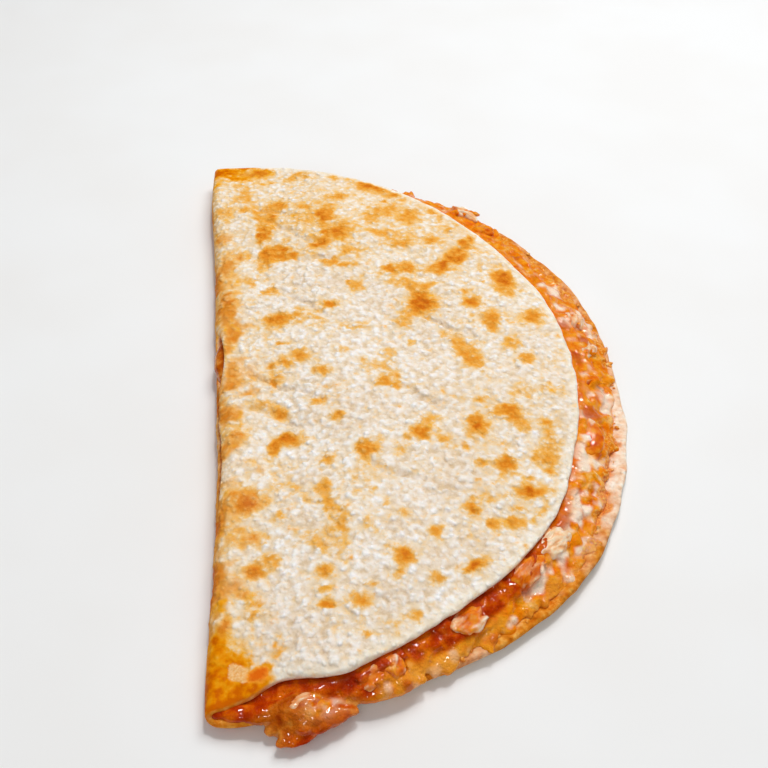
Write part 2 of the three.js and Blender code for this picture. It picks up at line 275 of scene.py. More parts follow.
def chance(places, seed):
    """A repeatable number from 0 to 1 for each whole-number place."""
    mixed = seed * 144665 + sum(places[:, i].astype(np.int64) * SCRAMBLE[i] for i in range(places.shape[1]))
    mixed &= WORD
    mixed = ((mixed ^ (mixed >> 13)) * 1274126177) & WORD
    mixed = ((mixed ^ (mixed >> 16)) * 73244475) & WORD
    return ((mixed ^ (mixed >> 16)) & 0xFFFFFF) / 0xFFFFFF


def clouds(points, size, seed, octaves=1):
    """Smooth hills from -1 to 1, about `size` millimetres apart."""
    total = np.zeros(len(points))
    for octave in range(octaves):
        place = points * (2**octave / size) + 19.7 * octave
        base = np.floor(place)
        part = place - base
        part = part**3 * (part * (6 * part - 15) + 10)
        for corner in itertools.product((0, 1), repeat=points.shape[1]):
            weight = np.prod(np.where(corner, part, 1 - part), axis=1)
            total += weight * (2 * chance(base + corner, seed + octave) - 1) / 2**octave
    return total


def cells(points, size, seed):
    """For each point: distance to the nearest cell centre in cell sizes, that centre, and the cell's
    own number from 0 to 1."""
    place = points / size
    base = np.floor(place)
    nearest = np.full(len(points), 9.0)
    centre = np.zeros_like(place)
    own = np.zeros(len(points))
    for step in itertools.product((-1, 0, 1), repeat=points.shape[1]):
        cell = base + step
        middle = cell + np.column_stack([chance(cell, seed + 7 * i) for i in range(points.shape[1])])
        distance = np.linalg.norm(middle - place, axis=1)
        closer = distance < nearest
        nearest[closer] = distance[closer]
        centre[closer] = middle[closer]
        own[closer] = chance(cell, seed + 31)[closer]
    return nearest, centre * size, own


def smooth(value, low, high):
    """0 up to low, 1 from high on, and a soft step between them."""
    share = np.clip((value - low) / (high - low), 0, 1)
    return share * share * (3 - 2 * share)


def hump(value, middle, width):
    """1 at the middle and fading to 0 on both sides, as a bell does."""
    return np.exp(-(((value - middle) / width) ** 2))


def rotated(x, y, degrees):
    """Plan coordinates turned counterclockwise."""
    cosine, sine = math.cos(math.radians(degrees)), math.sin(math.radians(degrees))
    return x * cosine - y * sine, x * sine + y * cosine


sample = clouds(np.random.default_rng(1).random((4000, 2)) * 100, 7, 1)
print("clouds go from", sample.min().round(2), "to", sample.max().round(2))

# %% [markdown]
# ## The form of the tortilla
#
# The sheet is one disc folded in half. These are the driving sizes of the CAD model, in millimetres, in
# fold coordinates: x from the fold's outer face, y from the fold's middle. Each function works on whole
# arrays, so that a hundred thousand points cost one call.

# %% Sizes and height fields
FOLD_POSITION = (-66.3, 2.5)
FLAP_RADIUS = 126.5
UPPER_CENTRE_X = -7.7
LOWER_CENTRE_X = 10.3
FOLD_HALF_LENGTH = 125
THICKNESS = 2.2
FOLD_HEIGHT = 10.4
MIDDLE_HEIGHT = 12.8
EDGE_DROOP, EDGE_DROOP_WIDTH = 0.9, 20
NEAR_CORNER_DROP, FAR_CORNER_DROP = 3.2, 0.4
LONG_RIPPLE, SHORT_RIPPLE = 0.4, 0.25
EDGE_LIFT, EDGE_LIFT_WIDTH = 1.7, 13
# waves: where in degrees (along Y in mm for the fold), by how much, how wide
UPPER_EDGE_WAVES = [
    (56, 1.4, 14), (20, -0.9, 6), (-35, 2.0, 10), (-60, -0.9, 9), (-88, -5.0, 18), (-70, 1.4, 3),
    (-77.3, -2.3, 2.6), (-86, 3.0, 5.5),
]
LOWER_EDGE_WAVES = [(50, 1.6, 12), (-4, -2.4, 13), (-46, 3.6, 15), (-90, 0.4, 9)]
EDGE_LIFT_WAVES = [(30, 0.7, 16), (-44, 0.8, 14), (-83, 1.6, 8)]
FOLD_WAVES = [(96, -1.7, 32), (-38, 1.2, 30), (-120, -2.3, 24)]
UPPER_FLAP = UPPER_CENTRE_X, UPPER_EDGE_WAVES
LOWER_FLAP = LOWER_CENTRE_X, LOWER_EDGE_WAVES


def waves(humps, place):
    return sum(by * hump(place, at, width) for at, by, width in humps)


def inside(x, y, flap):
    """How far a plan point lies inside a flap's edge."""
    centre, edge_waves = flap
    angle = np.degrees(np.arctan2(y, x - centre))
    return FLAP_RADIUS + waves(edge_waves, angle) - np.hypot(x - centre, y)


def inside_upper(x, y):
    return inside(x, y, UPPER_FLAP)


def inside_lower(x, y):
    return inside(x, y, LOWER_FLAP)


def underside_height(x, y):
    angle = np.degrees(np.arctan2(y, x - LOWER_CENTRE_X))
    toward_edge = 1 - smooth(inside_lower(x, y), 0, EDGE_LIFT_WIDTH)
    return (EDGE_LIFT + waves(EDGE_LIFT_WAVES, angle)) * toward_edge**2


def top_height(x, y):
    rise = (MIDDLE_HEIGHT - FOLD_HEIGHT) * smooth(x, 4, 46)
    droop = EDGE_DROOP * (1 - smooth(inside_upper(x, y), 0, EDGE_DROOP_WIDTH))
    near_drop = NEAR_CORNER_DROP * smooth(-y, 78, FOLD_HALF_LENGTH) * (1 - smooth(x, 0, 42))
    far_drop = FAR_CORNER_DROP * smooth(y, 90, FOLD_HALF_LENGTH)
    ripple = LONG_RIPPLE * np.sin(x / 15 + 0.6) * np.cos(y / 19 - 0.4)
    ripple += SHORT_RIPPLE * np.sin(y / 11 + x / 24)
    return FOLD_HEIGHT + rise - droop - near_drop - far_drop + ripple * smooth(x, 2, 30)


def fold_at(y):
    """The rounded fold's outer radius and the height of its axis."""
    low, high = underside_height(0 * y, y), top_height(0 * y, y)
    return (high - low) / 2, (high + low) / 2


print("fold radius in the middle", round(float(fold_at(np.array([0.0]))[0][0]), 2), "mm")

# %% [markdown]
# ## One sheet, unrolled
#
# Real dough keeps its area when it is folded, so the surface is laid out flat first: s runs across the
# fold, negative on the lower flap and positive on the upper, and y runs along it. `sheet` rolls a flat
# point round the fold. The fourth value, depth, is measured inwards from the outer face, so raising a
# blister is the same as a negative depth, and one function gives both faces and the edge between them.

# %% Roll the sheet round the fold
STEP_FADE = 15
# the fold is round for most of its length and squarer at its far end, where it was pressed flat
FAR_SQUARENESS = 0.5


def plan_x(s, y):
    """How far from the fold's outer face a flat point would lie if the fold were pressed flat."""
    radius = fold_at(y)[0]
    return np.abs(s) - radius * math.pi / 2 + radius


def to_row(x, y, z):
    """Fold coordinates to the part's frame, with the slight bend of the fold's line."""
    bend = waves(FOLD_WAVES, y) * (1 - smooth(x, 2, 55))
    return np.column_stack([x + bend + FOLD_POSITION[0], y + FOLD_POSITION[1], z])


def sheet(s, y, depth):
    """Flat points, at a depth in the dough, to the part's frame."""
    radius, axis = fold_at(y)
    turned = np.clip(s / radius, -math.pi / 2, math.pi / 2)
    beyond = np.maximum(np.abs(s) - radius * math.pi / 2, 0)
    power = 1 - FAR_SQUARENESS * smooth(y, 70, 124)
    across, upward = np.cos(turned) ** power, np.sign(turned) * np.abs(np.sin(turned)) ** power
    x = radius - (radius - depth) * across + beyond
    fade = 1 - smooth(beyond, 0, STEP_FADE)
    top = top_height(x, y) + (top_height(0 * y, y) - top_height(radius, y)) * fade
    bottom = underside_height(x, y) + (underside_height(0 * y, y) - underside_height(radius, y)) * fade
    round_z = axis + (radius - depth) * upward
    z = np.where(beyond == 0, round_z, np.where(s > 0, top - depth, bottom + depth))
    return to_row(x, y, z)


def rim_distance(s, y):
    """How far a flat point lies inside the tortilla's edge."""
    x = plan_x(s, y)
    flap = np.where(s > 0, inside_upper(x, y), inside_lower(x, y))
    return np.minimum(flap, FOLD_HALF_LENGTH + 1 - np.abs(y))


half_way_up = sheet(np.array([60.0]), np.array([0.0]), np.array([0.0]))[0].round(1)
print("a point 60 mm up the sheet lies at", half_way_up.tolist())

# %% The outline of the flat sheet
OUTLINE_STEP = 1.1
OUTLINE_SOFTENING = 6
EDGE_SAMPLES = 900
END_REACH = 1.0


def flap_edge(flap, side):
    """The edge of one flap as flat points, from the near end of the fold to the far end."""
    centre, edge_waves = flap
    ends = FOLD_HALF_LENGTH * np.array([-1.0, 1.0])
    low, high = [math.acos((r + END_REACH - centre) / FLAP_RADIUS) for r in fold_at(ends)[0]]
    angle = np.linspace(-low, high, EDGE_SAMPLES)
    reach = FLAP_RADIUS + waves(edge_waves, np.degrees(angle))
    x, y = centre + reach * np.cos(angle), reach * np.sin(angle)
    r = fold_at(y)[0]
    return np.column_stack([side * (x - r + r * math.pi / 2), y])


def evenly(loop, step):
    """A closed line with points an even step apart."""
    closed = np.vstack([loop, loop[:1]])
    along = np.concatenate([[0], np.cumsum(np.linalg.norm(np.diff(closed, axis=0), axis=1))])
    places = np.linspace(0, along[-1], round(along[-1] / step), endpoint=False)
    return np.column_stack([np.interp(places, along, closed[:, i]) for i in range(2)])


upper_edge = flap_edge(UPPER_FLAP, 1)
lower_edge = flap_edge(LOWER_FLAP, -1)
far_tip, near_tip = [[0, FOLD_HALF_LENGTH]], [[0, -FOLD_HALF_LENGTH]]
outline = evenly(np.vstack([upper_edge, far_tip, lower_edge[::-1], near_tip]), OUTLINE_STEP)
for _ in range(OUTLINE_SOFTENING):
    outline = (np.roll(outline, 1, axis=0) + 2 * outline + np.roll(outline, -1, axis=0)) / 4
print("outline:", len(outline), "points,", round(len(outline) * OUTLINE_STEP), "mm round")

# %% [markdown]
# ## Meshes from arrays
#
# A grid of quads can't follow a round edge without slivers. Instead, free points are scattered as
# densely as each region needs and joined by a Delaunay triangulation, which keeps triangles even. Each
# surface stops a millimetre short of the edge, and rows of quads carry it round to the other face.

# %% Mesh helpers
UNEVENNESS = 0.24
# how the triangulation is asked to drop what lies outside the loops, and to join points closer than this
INSIDE_ONLY, SAME_POINT = 1, 1e-6


def make_piece(name, points, triangles, finish, measures=None):
    """A mesh object from points in millimetres, with a smooth surface and numbers kept at its points."""
    mesh = bpy.data.meshes.new(name)
    mesh.vertices.add(len(points))
    mesh.vertices.foreach_set("co", (points * MM).astype(np.float32).ravel())
    mesh.loops.add(triangles.size)
    mesh.loops.foreach_set("vertex_index", triangles.astype(np.int32).ravel())
    mesh.polygons.add(len(triangles))
    mesh.polygons.foreach_set("loop_start", np.arange(0, triangles.size, 3, dtype=np.int32))
    mesh.polygons.foreach_set("use_smooth", np.ones(len(triangles), bool))
    for label, values in (measures or {}).items():
        kept = mesh.attributes.new(label, "FLOAT", "POINT")
        kept.data.foreach_set("value", values.astype(np.float32))
    mesh.update(calc_edges=True)
    mesh.validate()
    mesh.materials.append(finish)
    piece = bpy.data.objects.new(name, mesh)
    bpy.context.scene.collection.objects.link(piece)
    print(f"{name}: {len(triangles)} triangles")
    return piece


def scatter(low, high, step, seed):
    """Points in a box of the plane, in staggered rows with a little unevenness."""
    row = step * math.sqrt(3) / 2
    columns, rows = int((high[0] - low[0]) / step) + 1, int((high[1] - low[1]) / row) + 1
    i, j = [grid.ravel() for grid in np.meshgrid(np.arange(columns), np.arange(rows))]
    whole = np.column_stack([i, j])
    x = low[0] + (i + 0.5 * (j % 2) + UNEVENNESS * (chance(whole, seed) - 0.5)) * step
    y = low[1] + (j + UNEVENNESS * (chance(whole, seed + 1) - 0.5)) * row
    return np.column_stack([x, y])


def triangulate(points, outside, hole):
    """Triangles between flat points, inside one closed loop of them and outside another."""
    edges = [(int(a), int(b)) for loop in (outside, hole) for a, b in zip(loop, np.roll(loop, -1))]
    flat = [Vector(point) for point in points.tolist()]
    _, _, faces, sources, _, _ = delaunay_2d_cdt(flat, edges, [], INSIDE_ONLY, SAME_POINT)
    source = np.array([ids[0] for ids in sources])
    triangles = source[np.array(faces)]
    corners = points[triangles]
    side_a, side_b = corners[:, 1] - corners[:, 0], corners[:, 2] - corners[:, 0]
    flipped = side_a[:, 0] * side_b[:, 1] < side_a[:, 1] * side_b[:, 0]
    triangles[flipped] = triangles[flipped][:, ::-1]
    return triangles[~np.isin(triangles, hole).all(axis=1)]


def inward(loop):
    """Unit vectors that point into the dough from a counterclockwise loop."""
    along = np.roll(loop, -1, axis=0) - np.roll(loop, 1, axis=0)
    normal = np.column_stack([-along[:, 1], along[:, 0]])
    return normal / np.linalg.norm(normal, axis=1, keepdims=True)


print("points 10 mm apart in a 100 mm square:", len(scatter((0, 0), (100, 100), 10, 0)))

# %% [markdown]
# ## Where the sheet's points go
#
# The top is seen closest and has pebbles two millimetres wide, so its points are 0.7 mm apart. The
# underside gets by with 2.3 mm, the inner face is dense only near the lower edge, where it shows beside
# the filling, and the split in the fold is a hole whose lips are rounded by the same rows as the edge.

# %% Scatter the points
TOP_STEP, UNDER_STEP, LIP_STEP, HIDDEN_STEP = 0.70, 2.3, 0.95, 7.0
UNDER_RIM_STEP, UPPER_LIP_STEP = 1.33, 1.4
UNDER_RIM, LIP_WIDTH, UPPER_LIP_WIDTH = 9, 17, 3
FOLD_SIDE = -8.0
EDGE_ROUNDING = 1.0
EDGE_ROWS = 6
SPLIT_S, SPLIT_Y = 2.9, 6.0
SPLIT_HALF_LENGTH, SPLIT_HALF_WIDTH = 13.0, 2.8
SPLIT_POINTS = 56

angle = -np.linspace(0, 2 * math.pi, SPLIT_POINTS, endpoint=False)
split_y = SPLIT_Y + SPLIT_HALF_LENGTH * np.cos(angle)
split_s = SPLIT_S + SPLIT_HALF_WIDTH * np.sin(angle) * np.abs(np.sin(angle)) ** 0.4
split_loop = np.column_stack([split_s, split_y])[::-1]


def in_split(points, grow):
    """Whether flat points lie in the split, widened by some millimetres."""
    across = (points[:, 0] - SPLIT_S) / (SPLIT_HALF_WIDTH + grow)
    along = (points[:, 1] - SPLIT_Y) / (SPLIT_HALF_LENGTH + grow)
    return across**2 + along**2 < 1


def face_points(regions, seed):
    """Points of one face; each region is (step, test of distance to the rim and s)."""
    low, high = outline.min(axis=0), outline.max(axis=0)
    chosen = []
    for number, (step, test) in enumerate(regions):
        points = scatter(low, high, step, seed + 10 * number)
        rim = rim_distance(points[:, 0], points[:, 1])
        keep = (rim > EDGE_ROUNDING + 0.55 * step) & test(rim, points[:, 0])
        keep &= ~in_split(points, EDGE_ROUNDING + 0.5 * step)
        chosen.append(points[keep])
    return np.vstack(chosen)


outer = face_points([
    (TOP_STEP, lambda rim, s: s > FOLD_SIDE),
    (UNDER_RIM_STEP, lambda rim, s: (s <= FOLD_SIDE) & (rim < UNDER_RIM)),
    (UNDER_STEP, lambda rim, s: (s <= FOLD_SIDE) & (rim >= UNDER_RIM)),
], 100)
inner = face_points([
    (LIP_STEP, lambda rim, s: (s < 0) & (rim < LIP_WIDTH)),
    (UPPER_LIP_STEP, lambda rim, s: (s >= 0) & (rim < UPPER_LIP_WIDTH)),
    (HIDDEN_STEP, lambda rim, s: np.where(s < 0, rim >= LIP_WIDTH + 2, rim > 2 * UPPER_LIP_WIDTH)),
], 200)

# rows round the edge and round the split: from the outer face to the inner one
row_turns = np.linspace(math.pi / 2, -math.pi / 2, EDGE_ROWS + 1)
flat_parts, depth_parts, row_starts = [], [], []
start = 0
for loop in (outline, split_loop):
    starts = []
    for turned in row_turns:
        flat_parts.append(loop + inward(loop) * EDGE_ROUNDING * (1 - math.cos(turned)))
        depth_parts.append(np.full(len(loop), THICKNESS / 2 * (1 - math.sin(turned))))
        starts.append(start)
        start += len(loop)
    row_starts.append((starts, len(loop)))
outer_start, inner_start = start, start + len(outer)
flat = np.vstack(flat_parts + [outer, inner])
depth = np.concatenate(depth_parts + [np.zeros(len(outer)), np.full(len(inner), THICKNESS)])
print("points:", len(outer), "outside,", len(inner), "inside,", outer_start, "round the edges")

# %% Join the points
sheet_triangles = []
for starts, size in row_starts:
    around = np.arange(size)
    for upper_row, lower_row in zip(starts, starts[1:]):
        a, b = upper_row + around, upper_row + np.roll(around, -1)
        c, d = lower_row + np.roll(around, -1), lower_row + around
        sheet_triangles += [np.column_stack([b, a, d]), np.column_stack([b, d, c])]
outline_loop = np.arange(len(outline))
hole_loop = len(outline) + np.arange(SPLIT_POINTS)
for row, first, count in ((0, outer_start, len(outer)), (EDGE_ROWS, inner_start, len(inner))):
    rows = [starts[row] + np.arange(size) for starts, size in row_starts]
    members = np.concatenate([*rows, first + np.arange(count)])
    face = members[triangulate(flat[members], outline_loop, hole_loop)]
    sheet_triangles.append(face if row == 0 else face[:, ::-1])
sheet_triangles = np.vstack(sheet_triangles)
print("sheet:", len(sheet_triangles), "triangles")

# %% [markdown]
# ## Relief: pebbles, blisters and creases
#
# Steam lifts griddled dough at every scale. Broad swells are as wide as a coin, blisters are a few
# millimetres, and the flour skin breaks into pebbles of about two. All of it is real displacement of
# the points, so it also shows from the side and stays in the mesh itself. The pressed edge stays smooth.

# %% Raise the relief
# how high each kind of relief is and how wide
SWELL, BLISTER, PEBBLE, FINE_PEBBLE = 0.65, 0.60, 0.80, 0.26
SWELL_SIZE, BLISTER_SIZE, PEBBLE_SIZE, FINE_PEBBLE_SIZE = 26, 8.5, 2.3, 1.35
CREASE_DEPTH, CREASE_WIDTH = 1.15, 1.2
PRESSED_BELOW = 0.6
CURLED_LIPS, CRACK_DEPTH = 0.5, 0.7
# creases as flat-sheet lines: (s, y) to (s, y)
CREASES = [
    ((22, 82), (44, 62)), ((26, 40), (42, 20)), ((13, -4), (40, -22)), ((10, -20), (34, -31)),
    ((60, -14), (76, -30)), ((30, 58), (52, 52)), ((16, 96), (34, 84)), ((70, 22), (92, 4)),
    ((44, -48), (66, -58)),
]

s, y = flat[:, 0], flat[:, 1]
rim = rim_distance(s, y)
is_top = s > FOLD_SIDE


def line_distance(points, start, end):
    """How far each point lies from a line, and where along it, from 0 to 1."""
    start, end = np.array(start, float), np.array(end, float)
    along = end - start
    share = np.clip((points - start) @ along / (along @ along), 0, 1)
    return np.linalg.norm(points - start - share[:, None] * along, axis=1), share


wobble = np.column_stack([clouds(flat, 6, 11), clouds(flat, 6, 12)])
near, pebble_centre, pebble_own = cells(flat + 0.3 * wobble, PEBBLE_SIZE, 13)
small_near, _, small_own = cells(flat + 0.3 * wobble, FINE_PEBBLE_SIZE, 17)
pebble = np.clip(1 - (near / 0.66) ** 2, 0, 1) ** 0.8 * (0.4 + 0.6 * pebble_own)
small_pebble = np.clip(1 - (small_near / 0.75) ** 2, 0, 1) * small_own
blister = smooth(clouds(flat, BLISTER_SIZE, 21, 2), 0.25, 0.95)
swell = clouds(flat, SWELL_SIZE, 23) + 0.45 * clouds(flat, SWELL_SIZE / 2, 24)
calm = smooth(rim, 0.3, 3.5)
crease = np.zeros(len(flat))
for crease_start, crease_end in CREASES:
    away, share = line_distance(flat + 1.6 * wobble, crease_start, crease_end)
    crease = np.maximum(crease, hump(away, 0, CREASE_WIDTH) * np.sin(math.pi * share) ** 0.5)
roughness = (0.78 + 0.35 * clouds(flat, 18, 25)) * (1 - 0.6 * smooth(y, 0, 110))
relief = SWELL * swell + BLISTER * blister + roughness * (PEBBLE * pebble + FINE_PEBBLE * small_pebble)
near_split = hump(s, SPLIT_S, 5) * (1 - smooth(np.abs(y - SPLIT_Y), 14, 22))
calm_fold = 1 - 0.6 * (1 - smooth(np.abs(s), 2, 13))
calm_corner = 1 - 0.75 * smooth(-y, 98, 114) * (1 - smooth(s, 12, 26))
relief *= (0.25 + 0.75 * calm) * (1 - 0.8 * near_split) * calm_fold * calm_corner
relief -= CREASE_DEPTH * crease * calm

# the split's lips curl outwards, and a crack runs on from it along the fold
lip_distance = np.hypot((s - SPLIT_S) / 2.6, np.maximum(np.abs(y - SPLIT_Y) - SPLIT_HALF_LENGTH, 0) / 3)
lips = hump(lip_distance, 1.1, 0.5) * smooth(s - SPLIT_S, -0.5, 1.0)
lips *= 1 - smooth(np.abs(y - SPLIT_Y), 12, 19)
crack_line = 2.5 + 0.5 * np.sin(y / 9)
crack = hump(s, crack_line, 0.45) * smooth(y, -66, -50) * (1 - smooth(y, -8, -4))
relief += CURLED_LIPS * lips - CRACK_DEPTH * crack

outwards = 1 - depth / THICKNESS
inner_relief = 0.40 * clouds(flat, 9, 31) + 0.30 * clouds(flat, 4, 32) + 0.22 * clouds(flat, 2.2, 33)
inner_relief *= 1 - 0.7 * smooth(-y, 98, 112)

# the edge itself wanders a little in plan
centre = np.where(s > 0, UPPER_CENTRE_X, LOWER_CENTRE_X)
from_centre = np.column_stack([plan_x(s, y) - centre, y])
from_centre /= np.linalg.norm(from_centre, axis=1, keepdims=True)
wander = (0.42 * clouds(flat, 10, 35) + 0.28 * clouds(flat, 4.5, 36)) * (1 - smooth(rim, 0, 5))
moved_s = s + np.sign(s) * from_centre[:, 0] * wander
moved_y = y + from_centre[:, 1] * wander
sheet_points = sheet(moved_s, moved_y, depth - outwards * relief + (1 - outwards) * inner_relief)
# the table presses the relief of the underside: the closer to it, the flatter, and nothing goes through
low = sheet_points[:, 2] < PRESSED_BELOW
sheet_points[low, 2] = PRESSED_BELOW * np.exp(sheet_points[low, 2] / PRESSED_BELOW - 1)
print("relief from", relief.min().round(2), "to", relief.max().round(2), "mm")

# %% [markdown]
# ## Toasting
#
# The griddle browns what touches it: blister tops first, in patches with ragged edges that follow the
# pebbles. The patches on top are listed one by one, since they are what the eye knows this food by. Each is
# marked where it lies in the camera's frame, and `under_pixel` carries a mark down to the food. Specks
# and the underside are left to chance. What is stored is how toasted each point is, from 0 to 1.

# %% Place the toasted patches
FRAME_SIDE = 768
TOP_LEVEL = 12.63
TURN_STEP = 5
# column and row of the frame, half width and half height in pixels, turn in degrees, how strongly toasted
PATCH_MARKS = [
    (278, 202.5, 8, 4, 0, 0.75), (333, 198, 10, 4, 8, 0.55), (364, 185, 8, 5, 0, 0.85),
    (380, 187, 8, 5, -10, 0.8), (393, 193, 7, 4, -20, 0.6), (406, 218.5, 9, 7, 0, 0.6),
    (393, 209, 5, 5, 0, 0.5), (370, 219.5, 8, 6, 0, 0.5), (377, 235, 6, 4, 0, 0.45),
    (302, 219.5, 20, 8, 0, 0.4), (344.5, 230, 14, 6, 0, 0.5), (318, 244, 9, 4, 0, 0.75),
    (356, 251.6, 15, 3, 0, 0.4), (402, 244, 10, 4, 12, 0.55), (431, 241, 8, 5, -10, 0.5),
    (458, 254, 9, 5, -15, 0.5), (442.5, 264.5, 8, 6, 0, 0.7), (390, 268.5, 8, 4, 0, 0.6),
    (407, 269, 9, 5, 0, 0.55), (241, 252.5, 7, 4, 0, 0.7), (331.5, 302, 8, 4, 0, 0.7),
    (302.5, 307, 6, 3, 0, 0.4), (278, 317.5, 13, 7, 0, 0.8), (226, 299, 11, 13, 0, 0.75),
    (219.5, 273, 5, 6, 0, 0.6), (423.5, 303, 13, 10.1, 0, 0.9), (285.6, 340, 7, 3, 0, 0.6),
    (225, 344, 9, 9, 0, 0.75), (301, 353, 8, 6, 15, 0.6), (343.5, 351, 6, 4, 0, 0.45),
    (270, 364, 7, 4, 0, 0.7), (286.5, 360, 8, 5, 10, 0.6), (322, 369, 11, 4, -12, 0.6),
    (246, 375, 9, 3, 0, 0.5), (275, 378, 7, 7, 0, 0.6), (385, 383.5, 11, 5, 0, 0.66),
    (262.7, 401, 15, 6, -12, 0.5), (279.5, 410.4, 9, 6, 0, 0.75), (225.5, 396, 5, 7, 0, 0.7),
    (319, 400, 9, 4, 20, 0.6), (339, 417, 8, 4, 0, 0.75), (238, 433, 13, 8, 0, 0.6),
    (286, 435, 14, 6, -5, 0.95), (273.5, 446, 6, 7, 0, 0.8), (366.7, 448.7, 14, 10, 0, 0.72),
    (328.5, 456, 10, 7, 0, 0.55), (246, 496, 14, 13, 0, 0.95), (228, 499, 8, 12, 0, 0.6),
    (298, 484, 6, 5, 0, 0.45), (322, 487, 9, 9, -30, 0.55), (328.5, 503, 7, 8, 0, 0.5),
    (385, 505, 3.7, 4, 0, 0.5), (405, 514.5, 7, 5, 0, 0.45), (250.4, 530, 12.1, 7, 0, 0.6),
    (403.5, 556.5, 11, 8, 0, 0.85), (398, 575, 6, 6, 0, 0.55), (272, 555, 9, 7, 0, 0.65),
    (255.5, 568.5, 13, 8, 10, 0.85), (243.6, 590.5, 10, 5, -15, 0.75), (325, 568, 7, 5, 0, 0.8),
    (301.5, 572, 4, 4, 0, 0.5), (323, 587.4, 7, 5, 0, 0.5), (328, 603, 10, 6, 0, 0.85),
    (370.6, 583, 6, 4, 0, 0.65), (360, 601, 10, 9, 0, 0.6), (369, 630, 9.2, 4, 10, 0.6),
    (417, 610, 8, 9, 20, 0.6), (389, 619.6, 8, 4, 0, 0.4), (279.5, 630, 5, 4, 0, 0.6),
    (503, 279, 9, 9.1, 0, 0.85), (471, 304, 8, 6, 0, 0.75), (491, 317, 6, 6, 0, 0.55),
    (493, 327.5, 6, 7, 0, 0.6), (532.6, 316, 8, 9, -20, 0.6), (463, 347.5, 9, 8, 0, 0.5),
    (473, 360.6, 9, 8, 0, 0.6), (512.7, 344, 8, 7, 0, 0.55), (526, 359, 8.1, 5, -14, 0.5),
    (509.5, 413, 14, 7, -5, 0.7), (547.5, 423, 9, 5, 0, 0.65), (478, 427, 9, 10, 0, 0.75),
    (420, 434, 9, 7, 0, 0.8), (445.5, 439.5, 7, 5, 0, 0.5), (432.5, 419.6, 11, 5, -10, 0.4),
    (479, 400, 8, 4, 0, 0.35), (542.5, 456, 11, 7, -30, 0.6), (552.5, 471, 6, 4, 0, 0.5),
    (479.5, 464.5, 7, 5, 0, 0.6), (504.5, 466, 10, 8, -20, 0.6), (532.6, 492.6, 13, 5, 5, 0.85),
    (473, 509, 7, 8, 0, 0.75), (489.5, 497.5, 6, 6, 0, 0.4), (519, 509, 8, 4, 0, 0.6),
    (516, 521, 9, 6, 0, 0.65), (493, 524, 8, 6, 0, 0.75), (434.7, 534, 8, 7, 0, 0.65),
    (474.5, 565.5, 14, 4, 28, 0.95), (437, 575.5, 9, 7, 0, 0.6),
]
# patches by the fold's ends: x and y in the part's frame, half length and half width in mm, then the same
FOLD_PATCHES = [
    (-49, 121, 3.8, 2.9, -5, 0.95), (-56, 122, 4.0, 2.6, -5, 0.60), (-63.3, -99.5, 1.9, 3.4, -5, 0.85),
    (-59.5, -105, 3.3, 2.6, -5, 0.45), (-55.2, -113.8, 1.8, 2.2, -5, 1.0),
]
UNDERSIDE_PATCHES = 190
# how ragged a patch is, and the share of it that keeps to whole pebbles
RAGGED_BY, BY_PEBBLE = 0.8, 0.18


def under_pixel(column, row):
    """The plan point at the top's level that the camera sees at a pixel."""
    middle = FRAME_SIDE / 2
    ahead = Vector((column - middle, middle - row, -FRAME_SIDE * CAMERA_LENS / SENSOR_WIDTH))
    ray = camera.matrix_world.to_3x3() @ ahead
    eye = Vector(CAMERA_PLACE)
    return (eye + ray * ((TOP_LEVEL - eye.z) / ray.z)).to_2d()


def patch_from_mark(column, row, half_width, half_height, turned, strength):
    """A patch in the part's frame, to the millimetre."""
    middle = under_pixel(column, row)
    right, up = rotated(half_width, 0, turned)
    along = under_pixel(column + right, row - up) - middle
    right, up = rotated(0, -half_height, turned)
    across = under_pixel(column + right, row - up) - middle
    direction = math.degrees(math.atan2(along.y, along.x))
    sizes = round(along.length, 1), round(across.length, 1)
    return (round(middle.x), round(middle.y), *sizes, round(direction / TURN_STEP) * TURN_STEP, strength)


def patches(plan, places):
    """How toasted each plan point is: a small core and a wide halo for each patch."""
    toasted = np.zeros(len(plan))
    for x, y_place, half_length, half_width, turned, strength in places:
        away = plan - (x, y_place)
        close = np.abs(away).max(axis=1) < 2.4 * (half_length + half_width)
        along, across = rotated(*away[close].T, -turned)
        reach = np.hypot(along / half_length, across / half_width)
        level = 0.66 * (1 - smooth(reach, 0.2, 1.55)) + 0.34 * (1 - smooth(reach, 0.5, 2.5))
        level *= strength * (1 - 0.32 * smooth(y_place, 45, 85))
        toasted[close] = 1 - (1 - toasted[close]) * (1 - level)
    return toasted


top_places = [patch_from_mark(*mark) for mark in PATCH_MARKS] + FOLD_PATCHES
shuffled = np.random.default_rng(5)
under_places = [
    (shuffled.uniform(-66, 66), shuffled.uniform(-126, 126), shuffled.uniform(1.5, 5.5),
     shuffled.uniform(1.5, 4.5), shuffled.uniform(0, 180), shuffled.uniform(0.35, 0.95))
    for _ in range(UNDERSIDE_PATCHES)
]
ragged = np.column_stack([clouds(flat, 3.4, 41, 3), clouds(flat, 3.4, 43, 3)])
plan = sheet(s, y, depth)[:, :2] + RAGGED_BY * ragged
centre_plan = sheet(pebble_centre[:, 0], pebble_centre[:, 1], 0 * s)[:, :2]
on_top, on_under = [
    (1 - BY_PEBBLE) * patches(plan, places) + BY_PEBBLE * patches(centre_plan, places)
    for places in (top_places, under_places)
]
toasted = np.where(is_top, on_top, on_under)
region = smooth(clouds(flat, 34, 48), -0.6, 0.5)
faint = smooth(clouds(flat, 7.5, 47, 3), -0.15, 0.95) * (0.4 + 0.6 * region)
faint *= 0.9 + 0.5 * smooth(y, 25, 90)
specks = smooth(clouds(flat, 2.4, 49), 0.35, 0.95) * smooth(clouds(flat, 16, 50), -0.4, 0.7)
toasted = toasted + (0.50 * faint + 0.20 * specks) * (1 - toasted)
toasted += 0.12 * (pebble_own - 0.5) * smooth(toasted, 0.08, 0.4)
